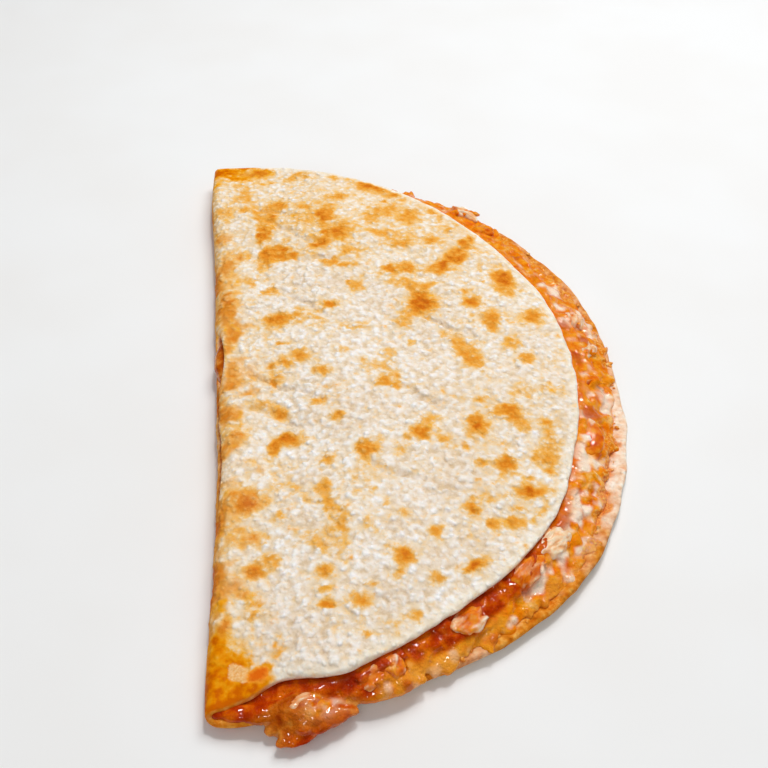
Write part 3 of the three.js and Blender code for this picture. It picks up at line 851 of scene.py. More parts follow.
toasted += 0.24 * smooth(y, 10, 90) + 0.09 * smooth(s, 60, 100)
toasted *= smooth(rim, 0.6, 3.8) * outwards
toasted = np.clip(toasted, 0, 1)
print("toasted share of the sheet:", round(float((toasted > 0.3).mean()), 3))

# %% Stains of oil, cheese and sauce
# the fold is warm and oily, and melted cheese has soaked through at its ends
far_part = smooth(y, 35, 85)
narrow = 1 - smooth(s + 1.2 * clouds(flat, 6, 52, 3), -1.0, 6.0)
wide = 1 - smooth(s + 4.5 * clouds(flat, 9, 54, 3), 5.0 - 4 * far_part, 22 - 4 * far_part)
mottle = smooth(clouds(flat, 7.5, 58, 3), -0.55, 0.6)
band = 0.36 * narrow + wide * (0.20 + 0.42 * mottle) * (1 - 0.25 * far_part)
fold_warmth = band * smooth(s, -16, -7) * (1 - 0.5 * lips)
near_corner = hump(np.hypot((plan[:, 0] + 67) * 0.85, (plan[:, 1] + 124) * 0.62), 0, 15.5)
far_corner = 0.65 * hump(np.hypot((plan[:, 0] + 62) * 0.36, (plan[:, 1] - 124) * 0.62), 0, 6.5)
stain = smooth(near_corner + far_corner + 0.28 * clouds(flat, 5, 53, 3), 0.05, 1.0)
# a patch where the skin came off, with a scorched spot beside it
bare = np.hypot((plan[:, 0] + 60.2) / 3.4, (plan[:, 1] + 112.6) / 2.5) + 0.45 * clouds(flat, 3.0, 59, 2)
bare = 1 - smooth(bare, 0.65, 1.25)
scorch = np.exp(-(np.hypot((plan[:, 0] + 55.0) / 2.5, (plan[:, 1] + 113.6) / 2.2) ** 3))
warmth = np.clip(fold_warmth, 0, 1) * outwards
lip_stain = (1 - outwards) * smooth(rim + 2.4 * clouds(flat, 5, 55, 3), 2.6, 6.4)
lip_stain = np.maximum(lip_stain, (1 - outwards) * 0.5 * smooth(clouds(flat, 4.5, 56, 3), 0.25, 0.9))
under_soaked = np.clip(1 - np.exp(-(((plan[:, 1] + 36) / 36) ** 4)) + 0.4 * clouds(flat, 6, 57, 2), 0, 1)
# the crease measure marks where shade is painted in the creases and along the crack
sheet_measures = {
    "toasted": toasted, "pebble": np.clip(pebble + 0.5 * small_pebble, 0, 1), "warmth": warmth,
    "stain": stain, "crease": crease * outwards + 0.9 * crack, "pressed": 1 - smooth(rim, 1.0, 4.5),
    "lip": lip_stain, "inner": 1 - outwards, "crack": crack, "bare": bare * (s > 0),
    "scorch": scorch * (s > 0), "soaked": np.where(s < 0, under_soaked, stain),
}
print("warm share of the fold:", round(float(warmth[np.abs(s) < 5].mean()), 2))

# %% [markdown]
# ## The tortilla's finish
#
# Raw flour skin is a cool cream. It is painted nearly white on the pebbles and tan between them, which is
# partly the flour's own tone and partly painted light on the tops and painted shade in the hollows.
# Toasting runs through pale gold and orange to brown, and it is a ramp over the stored number with a fine
# grain added, so that an edge breaks up at a scale below the mesh. Dry flour is dull, and oily toast has
# some gloss.

# %% Mix the tortilla's colours
dough = Finish(
    "toasted_tortilla", Specular_IOR_Level=0.02, Subsurface_Weight=0.08, Subsurface_Scale=0.002,
    Subsurface_Radius=(1.0, 0.65, 0.4),
)
level = {name: dough.measured(name) for name in sheet_measures}
fine = dough.grain(0.55, 3)
medium = dough.grain(2.2, 3)
broad = dough.grain(17, 2)
# noise as a direction pushes the places of the beads by about a millimetre
sockets = {"Vector": dough.place, "Scale": 1 / (3.4 * MM), "Detail": 2.0}
push = dough.node("ShaderNodeTexNoise", None, sockets, "Color")
pushed = dough.node("ShaderNodeMix", {"data_type": "VECTOR"}, {0: 1.3 * MM, 4: dough.place, 5: push}, 1)


def bead_pattern(size):
    """Round beads on the skin, 1 on top and 0 between, pushed out of their round shape."""
    sockets = {"Vector": pushed, "Scale": 1 / (size * MM), "Smoothness": 0.6}
    distance = dough.node("ShaderNodeTexVoronoi", {"feature": "SMOOTH_F1"}, sockets, "Distance")
    return dough.between(distance, 0.05, 0.66, 1, 0)


beads = bead_pattern(1.6) * 0.45 + bead_pattern(2.8) * 0.55
# the flour is painted paler on the bead tops and tan between them: partly its own tone, partly painted
# light and painted shade on the relief
height = level["pebble"] * 0.45 + beads * 0.7 + (fine - 0.5) * 0.2 + (medium - 0.5) * 0.5
flour = dough.ramp(
    height, (0.08, 222, 196, 163), (0.32, 237, 218, 196), (0.62, 246, 237, 228), (1.0, 255, 251, 250))
flour = dough.blend(dough.between(broad, 0.40, 0.70, 0, 0.40), flour, paint(240, 226, 207), "MULTIPLY")
flour = dough.blend(level["pressed"] * 0.45, flour, paint(250, 240, 220))
# painted shade in the creases and along the crack
flour = dough.blend(level["crease"] * 0.4, flour, paint(196, 160, 112))
# subtracting the beads paints the bead tops paler and the hollows browner: painted light and shade on the
# toast
browned = level["toasted"] * 0.92 + (fine - 0.5) * 0.2 + (medium - 0.5) * 0.38 - (beads - 0.5) * 0.26
toast_colour = dough.ramp(
    browned, (0.05, 243, 229, 206), (0.25, 241, 213, 170), (0.45, 239, 189, 115), (0.62, 236, 163, 64),
    (0.80, 226, 137, 34), (1.0, 204, 102, 16),
)
skin = dough.blend(dough.between(browned, 0.05, 0.55), flour, toast_colour)
# here too the bead tops are painted paler and the hollows darker: painted light and shade
warm = level["warmth"] + (medium - 0.5) * 0.4 - (beads - 0.5) * 0.26
warm_share = dough.between(level["warmth"] + (medium - 0.5) * 0.3, 0.0, 0.5)
warm_colour = dough.ramp(
    warm, (0.1, 246, 221, 182), (0.26, 242, 203, 146), (0.42, 237, 178, 100), (0.58, 231, 154, 66),
    (0.75, 222, 130, 34), (1.0, 208, 98, 6),
)
skin = dough.blend(warm_share, skin, warm_colour)
soaked = level["stain"] + (medium - 0.5) * 1.1
soaked_colour = dough.ramp(
    soaked, (0.1, 246, 196, 92), (0.4, 242, 168, 28), (0.75, 230, 134, 0), (1.0, 206, 98, 0))
skin = dough.blend(dough.between(soaked, 0.0, 0.6), skin, soaked_colour)
skin = dough.blend(dough.between(browned, 0.55, 0.85, 0, 0.8), skin, toast_colour)
bare_share = dough.between(level["bare"] + (medium - 0.5) * 0.9 + (fine - 0.5) * 0.3, 0.2, 0.9, 0, 0.85)
bare_colour = dough.shades(fine, (238, 172, 100), (246, 192, 126), (252, 214, 160))
skin = dough.blend(bare_share, skin, bare_colour)
scorched = level["scorch"] + (fine - 0.5) * 0.5 + (medium - 0.5) * 0.4
scorched_colour = dough.ramp(scorched, (0.3, 248, 160, 48), (0.9, 230, 106, 16))
skin = dough.blend(dough.between(scorched, 0.1, 0.5), skin, scorched_colour)
inner_skin = dough.shades(medium, (236, 190, 150), (248, 218, 190), (252, 240, 224))
golden_skin = dough.shades(medium, (202, 104, 12), (222, 134, 34), (240, 176, 84))
inner_skin = dough.blend(level["soaked"], inner_skin, golden_skin)
inner_share = dough.between(level["inner"] * (level["soaked"] * 2 + 1), 0.1, 0.9)
skin = dough.blend(inner_share, skin, inner_skin)
lip_share = dough.between(level["lip"] + (fine - 0.5) * 0.5, 0.15, 0.85, 0, 0.9)
skin = dough.blend(lip_share, skin, dough.shades(fine, (206, 92, 10), (232, 130, 32), (244, 170, 80)))
skin = dough.blend(level["crack"], skin, paint(176, 62, 10))
gloss = dough.between(level["warmth"] + level["stain"] + level["inner"], 0.2, 1.0, 0.66, 0.40)
# oil and cheese fill the skin's fine relief where they soaked in
fine_skin = ((fine - 0.5) * 0.12 + (medium - 0.5) * 0.15 + beads) * (1 - level["stain"] * 0.7)
tortilla_finish = dough.finish(Base_Color=skin, Roughness=gloss, Normal=dough.bump(fine_skin, 0.65))
tortilla = make_piece("folded_tortilla", sheet_points, sheet_triangles, tortilla_finish, sheet_measures)
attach(tortilla, "root")
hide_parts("tortilla")

# %% [markdown]
# ## The melted filling
#
# Shredded cheese melts into lumps and tongues that keep a hint of the shreds. A smooth slope with noise
# on it looks like plastic, so the filling starts as a plain ribbon between the two edges, some hundreds
# of soft blobs are laid on it, and a voxel remesh joins all of them into one skin, as melting does.

# %% Measures of the open side
UNDER_EDGE = 3.0
FILLING_INSET = 4.4
# where the cheese comes closer to the edge: in degrees round the lower flap, by how much, how wide
CHEESE_EDGE_WAVES = [(44, -2.9, 30), (-1, -3.2, 8), (-28, 1.2, 14), (-66, -2.6, 14)]
FILLING_BULGE = 0.9
FILLING_LIP = 0.4
RIBBON_START = 9.0
FLOUR_TO_FILLING = 0.15
# cheese that ran out over the edge: place in fold coordinates, half sizes, turn in degrees
RUNS = [
    (25, -125.0, 3.4, 10.4, 6.3, 3.1, 6), (20.8, -128.2, 2.2, 5.0, 4.2, 2.0, -20),
    (43, -120.2, 4.9, 11, 4.0, 2.1, 10),
]
# what fills the mouth between the flaps at the near end of the fold, in the same order
MOUTH = [
    (3.4, -122.8, 4.0, 3.0, 2.4, 1.4, 0), (8.2, -124.2, 4.3, 4.2, 2.6, 1.6, 4),
    (13.5, -124.9, 4.5, 4.8, 3.0, 1.8, 4), (20, -124.4, 4.8, 5.4, 3.6, 2.4, 8),
    (30, -119.5, 6.2, 6.0, 3.0, 2.0, 14),
]
# chunks of chicken in the same order, one for each of the CAD model's nodes
CHICKEN = [
    (97.5, 88.0, 6.9, 6.0, 2.8, 1.9, -44), (103.5, 76.0, 6.6, 3.6, 2.6, 1.9, -50),
    (125.6, 19.5, 6.7, 3.0, 4.3, 2.2, 8), (126.6, 2.0, 6.6, 3.0, 4.2, 2.3, -4),
    (122.4, -13.5, 7.2, 4.4, 2.2, 1.9, 20), (116.6, -39.0, 7.3, 4.3, 7.2, 2.5, -14),
    (96.4, -78.6, 7.3, 4.2, 6.8, 2.8, -44), (86.8, -89.0, 7.8, 6.4, 3.8, 2.7, 42),
    (66.6, -104, 7.4, 6.2, 3.8, 2.29, 28), (45.8, -115.2, 7.0, 3.4, 4.6, 2.6, 8),
    (40.2, -118.0, 6.6, 4.6, 3.6, 2.5, 24), (24.4, -124.2, 5.6, 4.6, 3.2, 2.2, 8),
]


def edge_point(share, flap, inset):
    """A plan point inside an edge; share runs from -1 at the near end of the fold to 1 at the far end."""
    centre, edge_waves = flap
    radius = fold_at(FOLD_HALF_LENGTH * np.sin(share * math.pi / 2))[0]
    angle = share * np.arccos((radius + END_REACH - centre) / FLAP_RADIUS)
    reach = FLAP_RADIUS + waves(edge_waves, np.degrees(angle)) - inset
    x = np.maximum(centre + reach * np.cos(angle), radius + 0.5)
    return np.column_stack([x, reach * np.sin(angle)])


def cheese_edge(points):
    """How far the cheese stops short of the lower edge: a wandering line."""
    angle = np.degrees(np.arctan2(points[:, 1], points[:, 0] - LOWER_CENTRE_X))
    inset = FILLING_INSET + waves(CHEESE_EDGE_WAVES, angle)
    return inset + 0.9 * clouds(points, 17, 61) + 0.6 * clouds(points, 6, 62)


def slope_height(points):
    """Height of the filling's top, under the upper flap first and then sloping down to the lower flap,
    and the share of the slope that lies behind each point."""
    x, y = points[:, 0], points[:, 1]
    before = UNDER_EDGE - inside_upper(x, y)
    after = np.maximum(inside_lower(x, y) - cheese_edge(points), 0)
    share = np.clip(before / np.maximum(before + after, 0.5), 0, 1)
    ceiling = top_height(x, y) - THICKNESS - FLOUR_TO_FILLING
    floor_end = underside_height(x, y) + THICKNESS + FILLING_LIP
    bulge = FILLING_BULGE * np.sin(math.pi * share) * share
    return ceiling + (floor_end - ceiling) * share**1.4 + bulge, share


slope_ends = slope_height(np.array([[110.0, 0], [130.0, 0]]))[0].round(1)
print("the filling slopes from", slope_ends[0], "to", slope_ends[1], "mm in the middle")

# %% The ribbon and its blobs
RIBBON_SLICES, RIBBON_ACROSS = 420, 22
RIBBON_REACH = 0.975
RIBBON_SINK = 0.5
BLOBS = 520
CRUST_BLOBS = 120
LUMPS_ON_RUN = 60
LUMPS_BY_RUN = (0.55, 0.15, 0.3)
# how much of a chunk's width the cheese at its foot has
FOOT_SHARE = 0.9
# streaks of cheese over each chunk, in the order of the list
STREAKS_OVER_CHUNK = (12, 9, 9, 9, 9, 0, 1, 9, 0, 14, 14, 15)
VOXEL = 0.51


def loft(section_points):
    """Triangles of a closed tube from sections of equally many points, with both ends capped."""
    sections, size = section_points.shape[:2]
    i, j = [grid.ravel() for grid in np.meshgrid(np.arange(sections - 1), np.arange(size), indexing="ij")]
    a, b = i * size + j, i * size + (j + 1) % size
    sides = np.vstack([np.column_stack([a, b, b + size]), np.column_stack([a, b + size, a + size])])
    k = np.arange(1, size - 1)
    last = (sections - 1) * size
    first_cap = np.column_stack([0 * k, k + 1, k])
    last_cap = np.column_stack([0 * k, k, k + 1]) + last
    return section_points.reshape(-1, 3), np.vstack([sides, first_cap, last_cap])


def ribbon():
    """The plain slope of filling, from under the upper flap to where the cheese stops."""
    share = np.sin(np.linspace(-math.pi / 2, math.pi / 2, RIBBON_SLICES)) * RIBBON_REACH
    start, end = edge_point(share, UPPER_FLAP, RIBBON_START), edge_point(share, LOWER_FLAP, 0)
    way = end - start
    end = end - way * (cheese_edge(end) / np.linalg.norm(way, axis=1))[:, None]
    sections = []
    for across in np.linspace(0, 1, RIBBON_ACROSS):
        points = start + (end - start) * across
        sections.append(np.column_stack([points, slope_height(points)[0]]))
    for across in (1.0, 0.5, 0.0):
        points = start + (end - start) * across
        floor_height = underside_height(points[:, 0], points[:, 1]) + THICKNESS - RIBBON_SINK
        sections.append(np.column_stack([points, floor_height]))
    return loft(np.stack(sections, axis=1))


def ball(rows=7, columns=10):
    """A unit ball as points and triangles."""
    down = np.linspace(0, math.pi, rows + 1)[1:-1]
    around = np.linspace(0, 2 * math.pi, columns, endpoint=False)
    body = [
        (math.sin(v) * math.cos(u), math.sin(v) * math.sin(u), math.cos(v))
        for v in down for u in around
    ]
    points = np.array([(0, 0, 1)] + body + [(0, 0, -1)])
    triangles = []
    last = len(points) - 1
    for column in range(columns):
        after = (column + 1) % columns
        triangles.append((0, 1 + column, 1 + after))
        for row in range(rows - 2):
            a, b = 1 + row * columns + column, 1 + row * columns + after
            triangles += [(a, a + columns, b + columns), (a, b + columns, b)]
        triangles.append((last, last - columns + after, last - columns + column))
    return points, np.array(triangles)


def joined(parts):
    """Several (points, triangles) as one."""
    starts = np.cumsum([0] + [len(points) for points, _ in parts])
    triangles = [own + start for (_, own), start in zip(parts, starts)]
    return np.vstack([points for points, _ in parts]), np.vstack(triangles)


def turned_blob(shape, place, sizes, degrees):
    """A unit shape given three half sizes, turned in plan and put in its place."""
    points, triangles = shape
    x, y, z = (points * sizes).T
    return np.column_stack([*rotated(x, y, degrees), z]) + place, triangles


shuffled = np.random.default_rng(11)
unit_ball = ball()
parts = [ribbon()]
for number in range(BLOBS + CRUST_BLOBS):
    crust = number >= BLOBS
    share = np.array([shuffled.uniform(-0.95, 0.95)])
    across = shuffled.uniform(0.78, 0.96) if crust else shuffled.uniform(0.12, 0.97)
    start, end = edge_point(share, UPPER_FLAP, 2.0)[0], edge_point(share, LOWER_FLAP, 0)[0]
    end += (start - end) * min(cheese_edge(end[None, :])[0] / np.linalg.norm(end - start), 0.8)
    point = start + (end - start) * across
    height = slope_height(point[None, :])[0][0]
    outward = math.degrees(math.atan2(end[1] - start[1], end[0] - start[0]))
    if crust:
        sizes = shuffled.uniform(1.1, 2.4), shuffled.uniform(0.9, 1.8), shuffled.uniform(0.4, 0.7)
        turned = shuffled.uniform(0, 180)
        lift = -0.15
    else:
        sizes = [shuffled.uniform(1.8, 6.0), shuffled.uniform(1.0, 2.6), shuffled.uniform(0.7, 1.7)]
        sizes[2] *= 1 - 0.45 * smooth(share[0], 0.15, 0.6)
        turned = outward + 90 + shuffled.normal(0, 38)
        lift = -0.35 * sizes[2]
    parts.append(turned_blob(unit_ball, (*point, height + lift), sizes, turned))
round_ball = ball(14, 20)
for x, y, z, rx, ry, rz, turned in RUNS + MOUTH:
    lump = turned_blob(round_ball, (x, y, z), (rx, ry, rz), turned)
    lump[0][:, 2] = np.maximum(lump[0][:, 2], 0.25)
    parts.append(lump)
# lumps on what ran out, and cheese drawn up round the foot of each chunk
for _ in range(LUMPS_ON_RUN):
    x, y, z, rx, ry, rz, turned = RUNS[shuffled.choice(len(RUNS), p=LUMPS_BY_RUN)]
    reach, angle = shuffled.uniform(0, 0.92) ** 0.5, shuffled.uniform(0, 2 * math.pi)
    side_x, side_y = rotated(rx * reach * math.cos(angle), ry * reach * math.sin(angle), turned)
    height = z + rz * math.sqrt(1 - reach**2) - 0.3
    place = x + side_x, y + side_y, max(height, 0.9)
    sizes = shuffled.uniform(1.2, 3.6), shuffled.uniform(0.9, 2.0), shuffled.uniform(0.6, 1.2)
    parts.append(turned_blob(unit_ball, place, sizes, shuffled.uniform(-30, 60)))
for (x, y, z, rx, ry, rz, turned), streak_count in zip(CHICKEN, STREAKS_OVER_CHUNK):
    foot = (rx * FOOT_SHARE, ry * FOOT_SHARE, rz * 0.6)
    parts.append(turned_blob(round_ball, (x, y, z - 0.3 * rz), foot, turned))
    for _ in range(streak_count):
        side_x, side_y = shuffled.uniform(-0.8, 0.8) * rx, shuffled.uniform(-0.8, 0.8) * ry
        cover = 1 - (side_x / rx) ** 2 - (side_y / ry) ** 2
        if cover > 0.05:
            place = x + side_x, y + side_y, z + 0.85 * rz * math.sqrt(cover) - 0.15
            sizes = shuffled.uniform(1.4, 2.8), shuffled.uniform(0.6, 1.1), shuffled.uniform(0.5, 0.8)
            parts.append(turned_blob(unit_ball, place, sizes, turned + shuffled.normal(0, 30)))
blob_points, blob_triangles = joined(parts)
blob_points = to_row(*blob_points.T)
print("blobs:", len(parts), "parts,", len(blob_triangles), "triangles")

# %% Melt the blobs into one skin


def arrays(mesh):
    """A mesh's points in millimetres and its triangles."""
    points = np.empty(len(mesh.vertices) * 3, np.float32)
    mesh.vertices.foreach_get("co", points)
    mesh.calc_loop_triangles()
    triangles = np.empty(len(mesh.loop_triangles) * 3, np.int32)
    mesh.loop_triangles.foreach_get("vertices", triangles)
    return points.reshape(-1, 3).astype(float) / MM, triangles.reshape(-1, 3)


def melted(points, triangles, voxel, smoothing):
    """Joins overlapping closed meshes into one skin and softens it."""
    mesh = bpy.data.meshes.new("melting")
    mesh.from_pydata((points * MM).tolist(), [], triangles.tolist())
    lump = bpy.data.objects.new("melting", mesh)
    bpy.context.scene.collection.objects.link(lump)
    remesh = lump.modifiers.new("voxels", "REMESH")
    remesh.mode = "VOXEL"
    remesh.voxel_size = voxel * MM
    soften = lump.modifiers.new("soften", "SMOOTH")
    soften.factor, soften.iterations = 0.5, smoothing
    evaluated = lump.evaluated_get(bpy.context.evaluated_depsgraph_get())
    made = arrays(evaluated.to_mesh())
    evaluated.to_mesh_clear()
    bpy.data.objects.remove(lump)
    bpy.data.meshes.remove(mesh)
    return made


def normals_of(points, triangles):
    """Unit normals at the points, each the sum of its triangles' normals."""
    a, b, c = points[triangles[:, 0]], points[triangles[:, 1]], points[triangles[:, 2]]
    face = np.cross(b - a, c - a)
    total = np.column_stack([
        sum(np.bincount(triangles[:, k], face[:, i], len(points)) for k in range(3)) for i in range(3)
    ])
    return total / np.maximum(np.linalg.norm(total, axis=1, keepdims=True), 1e-12)


cheese_points, cheese_triangles = melted(blob_points, blob_triangles, VOXEL, 4)
print("melted:", len(cheese_points), "points,", len(cheese_triangles), "triangles")

# %% [markdown]
# ## What the filling is made of, place by place
#
# Close under the upper edge it is red chilli sauce, in the middle orange cheese with paler curds, and
# where it touched the griddle beside the lip it is fried brown and rough. The same few numbers, kept at
# each point, drive both the fine relief and the colours, so that a rough place is also a browned one.

# %% Relief and measures of the filling
# sauce that gathered where the cheese ran out: fold coordinates, half sizes, how red
RED_POOLS = [
    (38.5, -122.2, 4.6, 2.4, 1.1), (52.5, -113.0, 3.0, 3.2, 1.0), (25, -133, 7.5, 3.0, 1.1),
    (34, -125.4, 3.6, 0.9, 1.0),
]
MENISCUS, MENISCUS_WIDTH = 0.35, 0.22
FINE_RELIEF, FINEST_RELIEF = 0.32, 0.14

plan = cheese_points[:, :2] - FOLD_POSITION
plan[:, 0] -= waves(FOLD_WAVES, plan[:, 1]) * (1 - smooth(plan[:, 0], 2, 55))
out = -inside_upper(plan[:, 0], plan[:, 1])
lip = inside_lower(plan[:, 0], plan[:, 1])
around = np.degrees(np.arctan2(plan[:, 1], plan[:, 0]))
near_side = 1 - smooth(around, -52, -26)
patchy = clouds(cheese_points, 13, 71, 2)
sauce_reach = 1.8 + 3.2 * near_side + 2.0 * patchy
sauce = (1 - smooth(out, sauce_reach - 1.5, sauce_reach + 2.4)) * (0.5 + 0.5 * near_side)
sauce = np.maximum(sauce, 0.7 * smooth(clouds(cheese_points, 9, 73, 2), 0.3, 0.9))
at_run = smooth(-plan[:, 1], 96, 108) * (1 - smooth(plan[:, 0], 44, 58))
sauce = np.maximum(sauce, at_run * (0.30 + 0.45 * clouds(cheese_points, 7, 70, 2)))
for x, y_place, half_x, half_y, share in RED_POOLS:
    pool = hump(plan[:, 0], x, half_x) * hump(plan[:, 1], y_place, half_y)
    sauce = np.maximum(sauce, share * pool)
edge_gap = lip - cheese_edge(plan)
low_right = smooth(-around, 13, 21) * (1 - smooth(-around, 44, 54))
far_side = smooth(around, 12, 40)
crust_gap = edge_gap + (1.8 - low_right) * clouds(cheese_points, 5, 74, 2)
crust = 1 - smooth(crust_gap, 1.0 - 0.6 * low_right, 4.8 - 2.4 * low_right)
crust *= (1 - 0.8 * near_side) * (1 - 0.5 * far_side) * smooth(clouds(cheese_points, 13, 75, 2), -0.8, 0.1)
golden = (1 - smooth(edge_gap + 1.5 * clouds(cheese_points, 6, 79, 2), 0.0, 4.5)) * near_side
golden *= smooth(plan[:, 0], 36, 56) * smooth(clouds(cheese_points, 7, 80, 2), -0.7, 0.3)
# curds are smaller at the lower right; pale shreds lie in the mouth at the near end
curd_noise = np.where(low_right > 0.5, clouds(cheese_points, 3.8, 69, 2), clouds(cheese_points, 4.6, 76, 2))
curds = smooth(curd_noise + 0.52 * low_right - 0.8 * far_side - 0.2 * near_side, 0.2, 0.9)
pale = hump(plan[:, 0], 29.5, 5.5) * hump(plan[:, 1], -124.5, 4.5)
amber = smooth(-plan[:, 1], 106, 116) * (1 - smooth(plan[:, 0], 30, 48)) * (1 - 0.9 * pale)
curds = np.maximum(curds, pale * smooth(clouds(cheese_points, 4.0, 68, 3), -0.5, 0.4)) * (1 - sauce)
rough = 0.60 + 0.30 * crust - 0.1 * sauce + 0.2 * low_right
direction = normals_of(cheese_points, cheese_triangles)
fine_relief = FINE_RELIEF * clouds(cheese_points, 2.6, 77, 2)
fine_relief += FINEST_RELIEF * clouds(cheese_points, 1.2, 78)
# cheese climbs a little where it meets a chunk
meniscus = np.zeros(len(cheese_points))
for x, y_place, _, rx, ry, _, turned in CHICKEN:
    away = plan - (x, y_place)
    close = np.abs(away).max(axis=1) < 14
    along, across = rotated(*away[close].T, -turned)
    meniscus[close] += MENISCUS * hump(np.hypot(along / rx, across / ry), 1.0, MENISCUS_WIDTH)
upward = np.clip(direction[:, 2], 0, 1)
cheese_points = cheese_points + direction * (fine_relief * rough + meniscus * upward)[:, None]
cheese_points[:, 2] = np.maximum(cheese_points[:, 2], 0.05)
cheese_measures = {
    "sauce": np.clip(sauce, 0, 1), "crust": np.clip(crust, 0, 1), "curds": curds, "golden": golden,
    "amber": amber,
}
print("browned share:", round(float((crust > 0.5).mean()), 2))

# %% [markdown]
# ## The filling's finish
#
# Melted cheese is glossy because oil has come out of it, and light goes a little way in. The gloss is a
# clear coat over a soft body. Sauce is deep red where it is thick and orange where it is thin.

# %% Mix the filling's colours
cheese = Finish(
    "melted_cheese", Specular_IOR_Level=0.05, Subsurface_Weight=0.06, Subsurface_Scale=0.002,
    Subsurface_Radius=(1.0, 0.5, 0.15), Coat_Weight=0.7, Coat_Roughness=0.05, Coat_IOR=1.45,
)
streaks = cheese.grain(3.4, 3)
specks = cheese.grain(1.0, 3)
body = cheese.ramp(
    streaks, (0.28, 228, 98, 0), (0.45, 242, 132, 6), (0.6, 247, 155, 22), (0.76, 252, 200, 116))
body = cheese.blend(cheese.measured("curds") * 0.88, body, paint(255, 238, 216))
body = cheese.blend(cheese.measured("golden") * 0.8, body, paint(232, 152, 50))
ambers = cheese.shades(streaks, (160, 58, 0), (194, 94, 12), (226, 146, 56))
body = cheese.blend(cheese.measured("amber") * 0.95, body, ambers)
reds = cheese.shades(streaks, (160, 32, 0), (191, 62, 0), (224, 106, 2))
saucy = cheese.between(cheese.measured("sauce") + (streaks - 0.5) * 0.7, 0.25, 0.95)
body = cheese.blend(saucy, body, reds)
browns = cheese.shades(specks, (214, 96, 4), (240, 142, 24), (252, 196, 104))
fried = cheese.between(cheese.measured("crust") + (specks - 0.5) * 0.7, 0.3, 0.8, 0, 0.9)
body = cheese.blend(fried, body, browns)
dull = cheese.between(cheese.measured("crust"), 0.2, 0.9, 0.22, 0.5)
grainy = cheese.bump((specks - 0.5) * 1.2 + (streaks - 0.5) * 0.8, 0.5)
cheese_finish = cheese.finish(Base_Color=body, Roughness=dull, Normal=grainy)
filling = make_piece("melted_filling", cheese_points, cheese_triangles, cheese_finish, cheese_measures)
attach(filling, "root")
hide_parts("filling")

# %% [markdown]
# ## The filling that stays between the flaps
#
# The filling runs right through to the fold, where it shows in the split. That part needs no detail: a
# loft with a round nose in the fold, which ends inside the melted edge.

# %% The core
CORE_SLICES = 90
CORE_REACH = 0.94
CORE_END = 6.5
CORE_GAP = 0.4
SPLIT_BULGE = 3.4

core_share = np.sin(np.linspace(-math.pi / 2, math.pi / 2, CORE_SLICES)) * CORE_REACH
fold_y = FOLD_HALF_LENGTH * np.sin(core_share * math.pi / 2)
fold_radius, fold_axis = fold_at(fold_y)
# it bulges into the split, from inside the dough
nose = np.maximum(fold_radius - THICKNESS - 0.1, 0.2)
bulge = SPLIT_BULGE * hump(fold_y, SPLIT_Y, 9)
end = edge_point(core_share, UPPER_FLAP, CORE_END)
top_chain, bottom_chain = [], []
for degrees in (0, 14, 28, 42, 56, 72, 88):
    turned = math.radians(degrees)
    for chain, side in ((top_chain, 1), (bottom_chain, -1)):
        reach = nose + bulge * hump(side * degrees, 15, 34)
        height = fold_axis + side * reach * math.sin(turned)
        chain.append(np.column_stack([fold_radius - reach * math.cos(turned), fold_y, height]))
for step in (0.15, 0.4, 0.7, 1.0):
    x = fold_radius + (end[:, 0] - fold_radius) * step
    y_core = fold_y + (end[:, 1] - fold_y) * step
    top_chain.append(np.column_stack([x, y_core, top_height(x, y_core) - THICKNESS - CORE_GAP]))
    bottom_chain.append(np.column_stack([x, y_core, underside_height(x, y_core) + THICKNESS + CORE_GAP]))
core_sections = np.stack(top_chain + bottom_chain[:0:-1], axis=1)
core_points, core_triangles = loft(core_sections)
core_measures = {"sauce": np.full(len(core_points), 0.2), "amber": np.ones(len(core_points))}
core = make_piece("filling_core", to_row(*core_points.T), core_triangles, cheese_finish, core_measures)
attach(core, "root")

# %% [markdown]
# ## Chicken in the open edge
#
# Torn chicken has flat broken sides and fibres that run one way, and it is glazed where sauce clings.
# Each chunk starts as a ball whose distance from the middle is cut down by eleven planes, ten of them at
# random, which gives the torn sides. Fibres are noise stretched along one direction, and the glaze has its
# own number at each point, so that the same finish serves a pale bare chunk and one drowned in sauce.

# %% Measures of the chunks
BALL_RINGS, BALL_COLUMNS = 84, 132
TORN_SIDES = 11
FIBRE_DEPTH, FIBRE_WIDTH, FIBRE_STRETCH = 0.12, 1.0, 3.0
LUMP_DEPTH, CRINKLE_DEPTH = 0.5, 0.62
# how far a torn side lies from the middle, in half sizes, and how sharply it is cut
SIDE_REACH, TOP_REACH, CUT_SHARPNESS = (0.58, 0.98), 0.8, 8
FILL_OUT = 1.16
# by place in the list, from 0: chunks with less relief, and chunks cut flat on top
SMOOTH_CHUNKS = {5: 0.1, 6: 0.5}
FLAT_TOPS = {5: 0.42}
# how much each chunk is covered in sauce, in the order of the list of chunks
GLAZES = (0.35, 0.85, 0.45, 0.30, 0.60, 0.95, -0.30, 0.90, 0.60, 0.80, 0.90, 0.65)
# and how much more of it lies on the chunk's near end than on its far end
SLOPED_GLAZES = {5: 0.35}


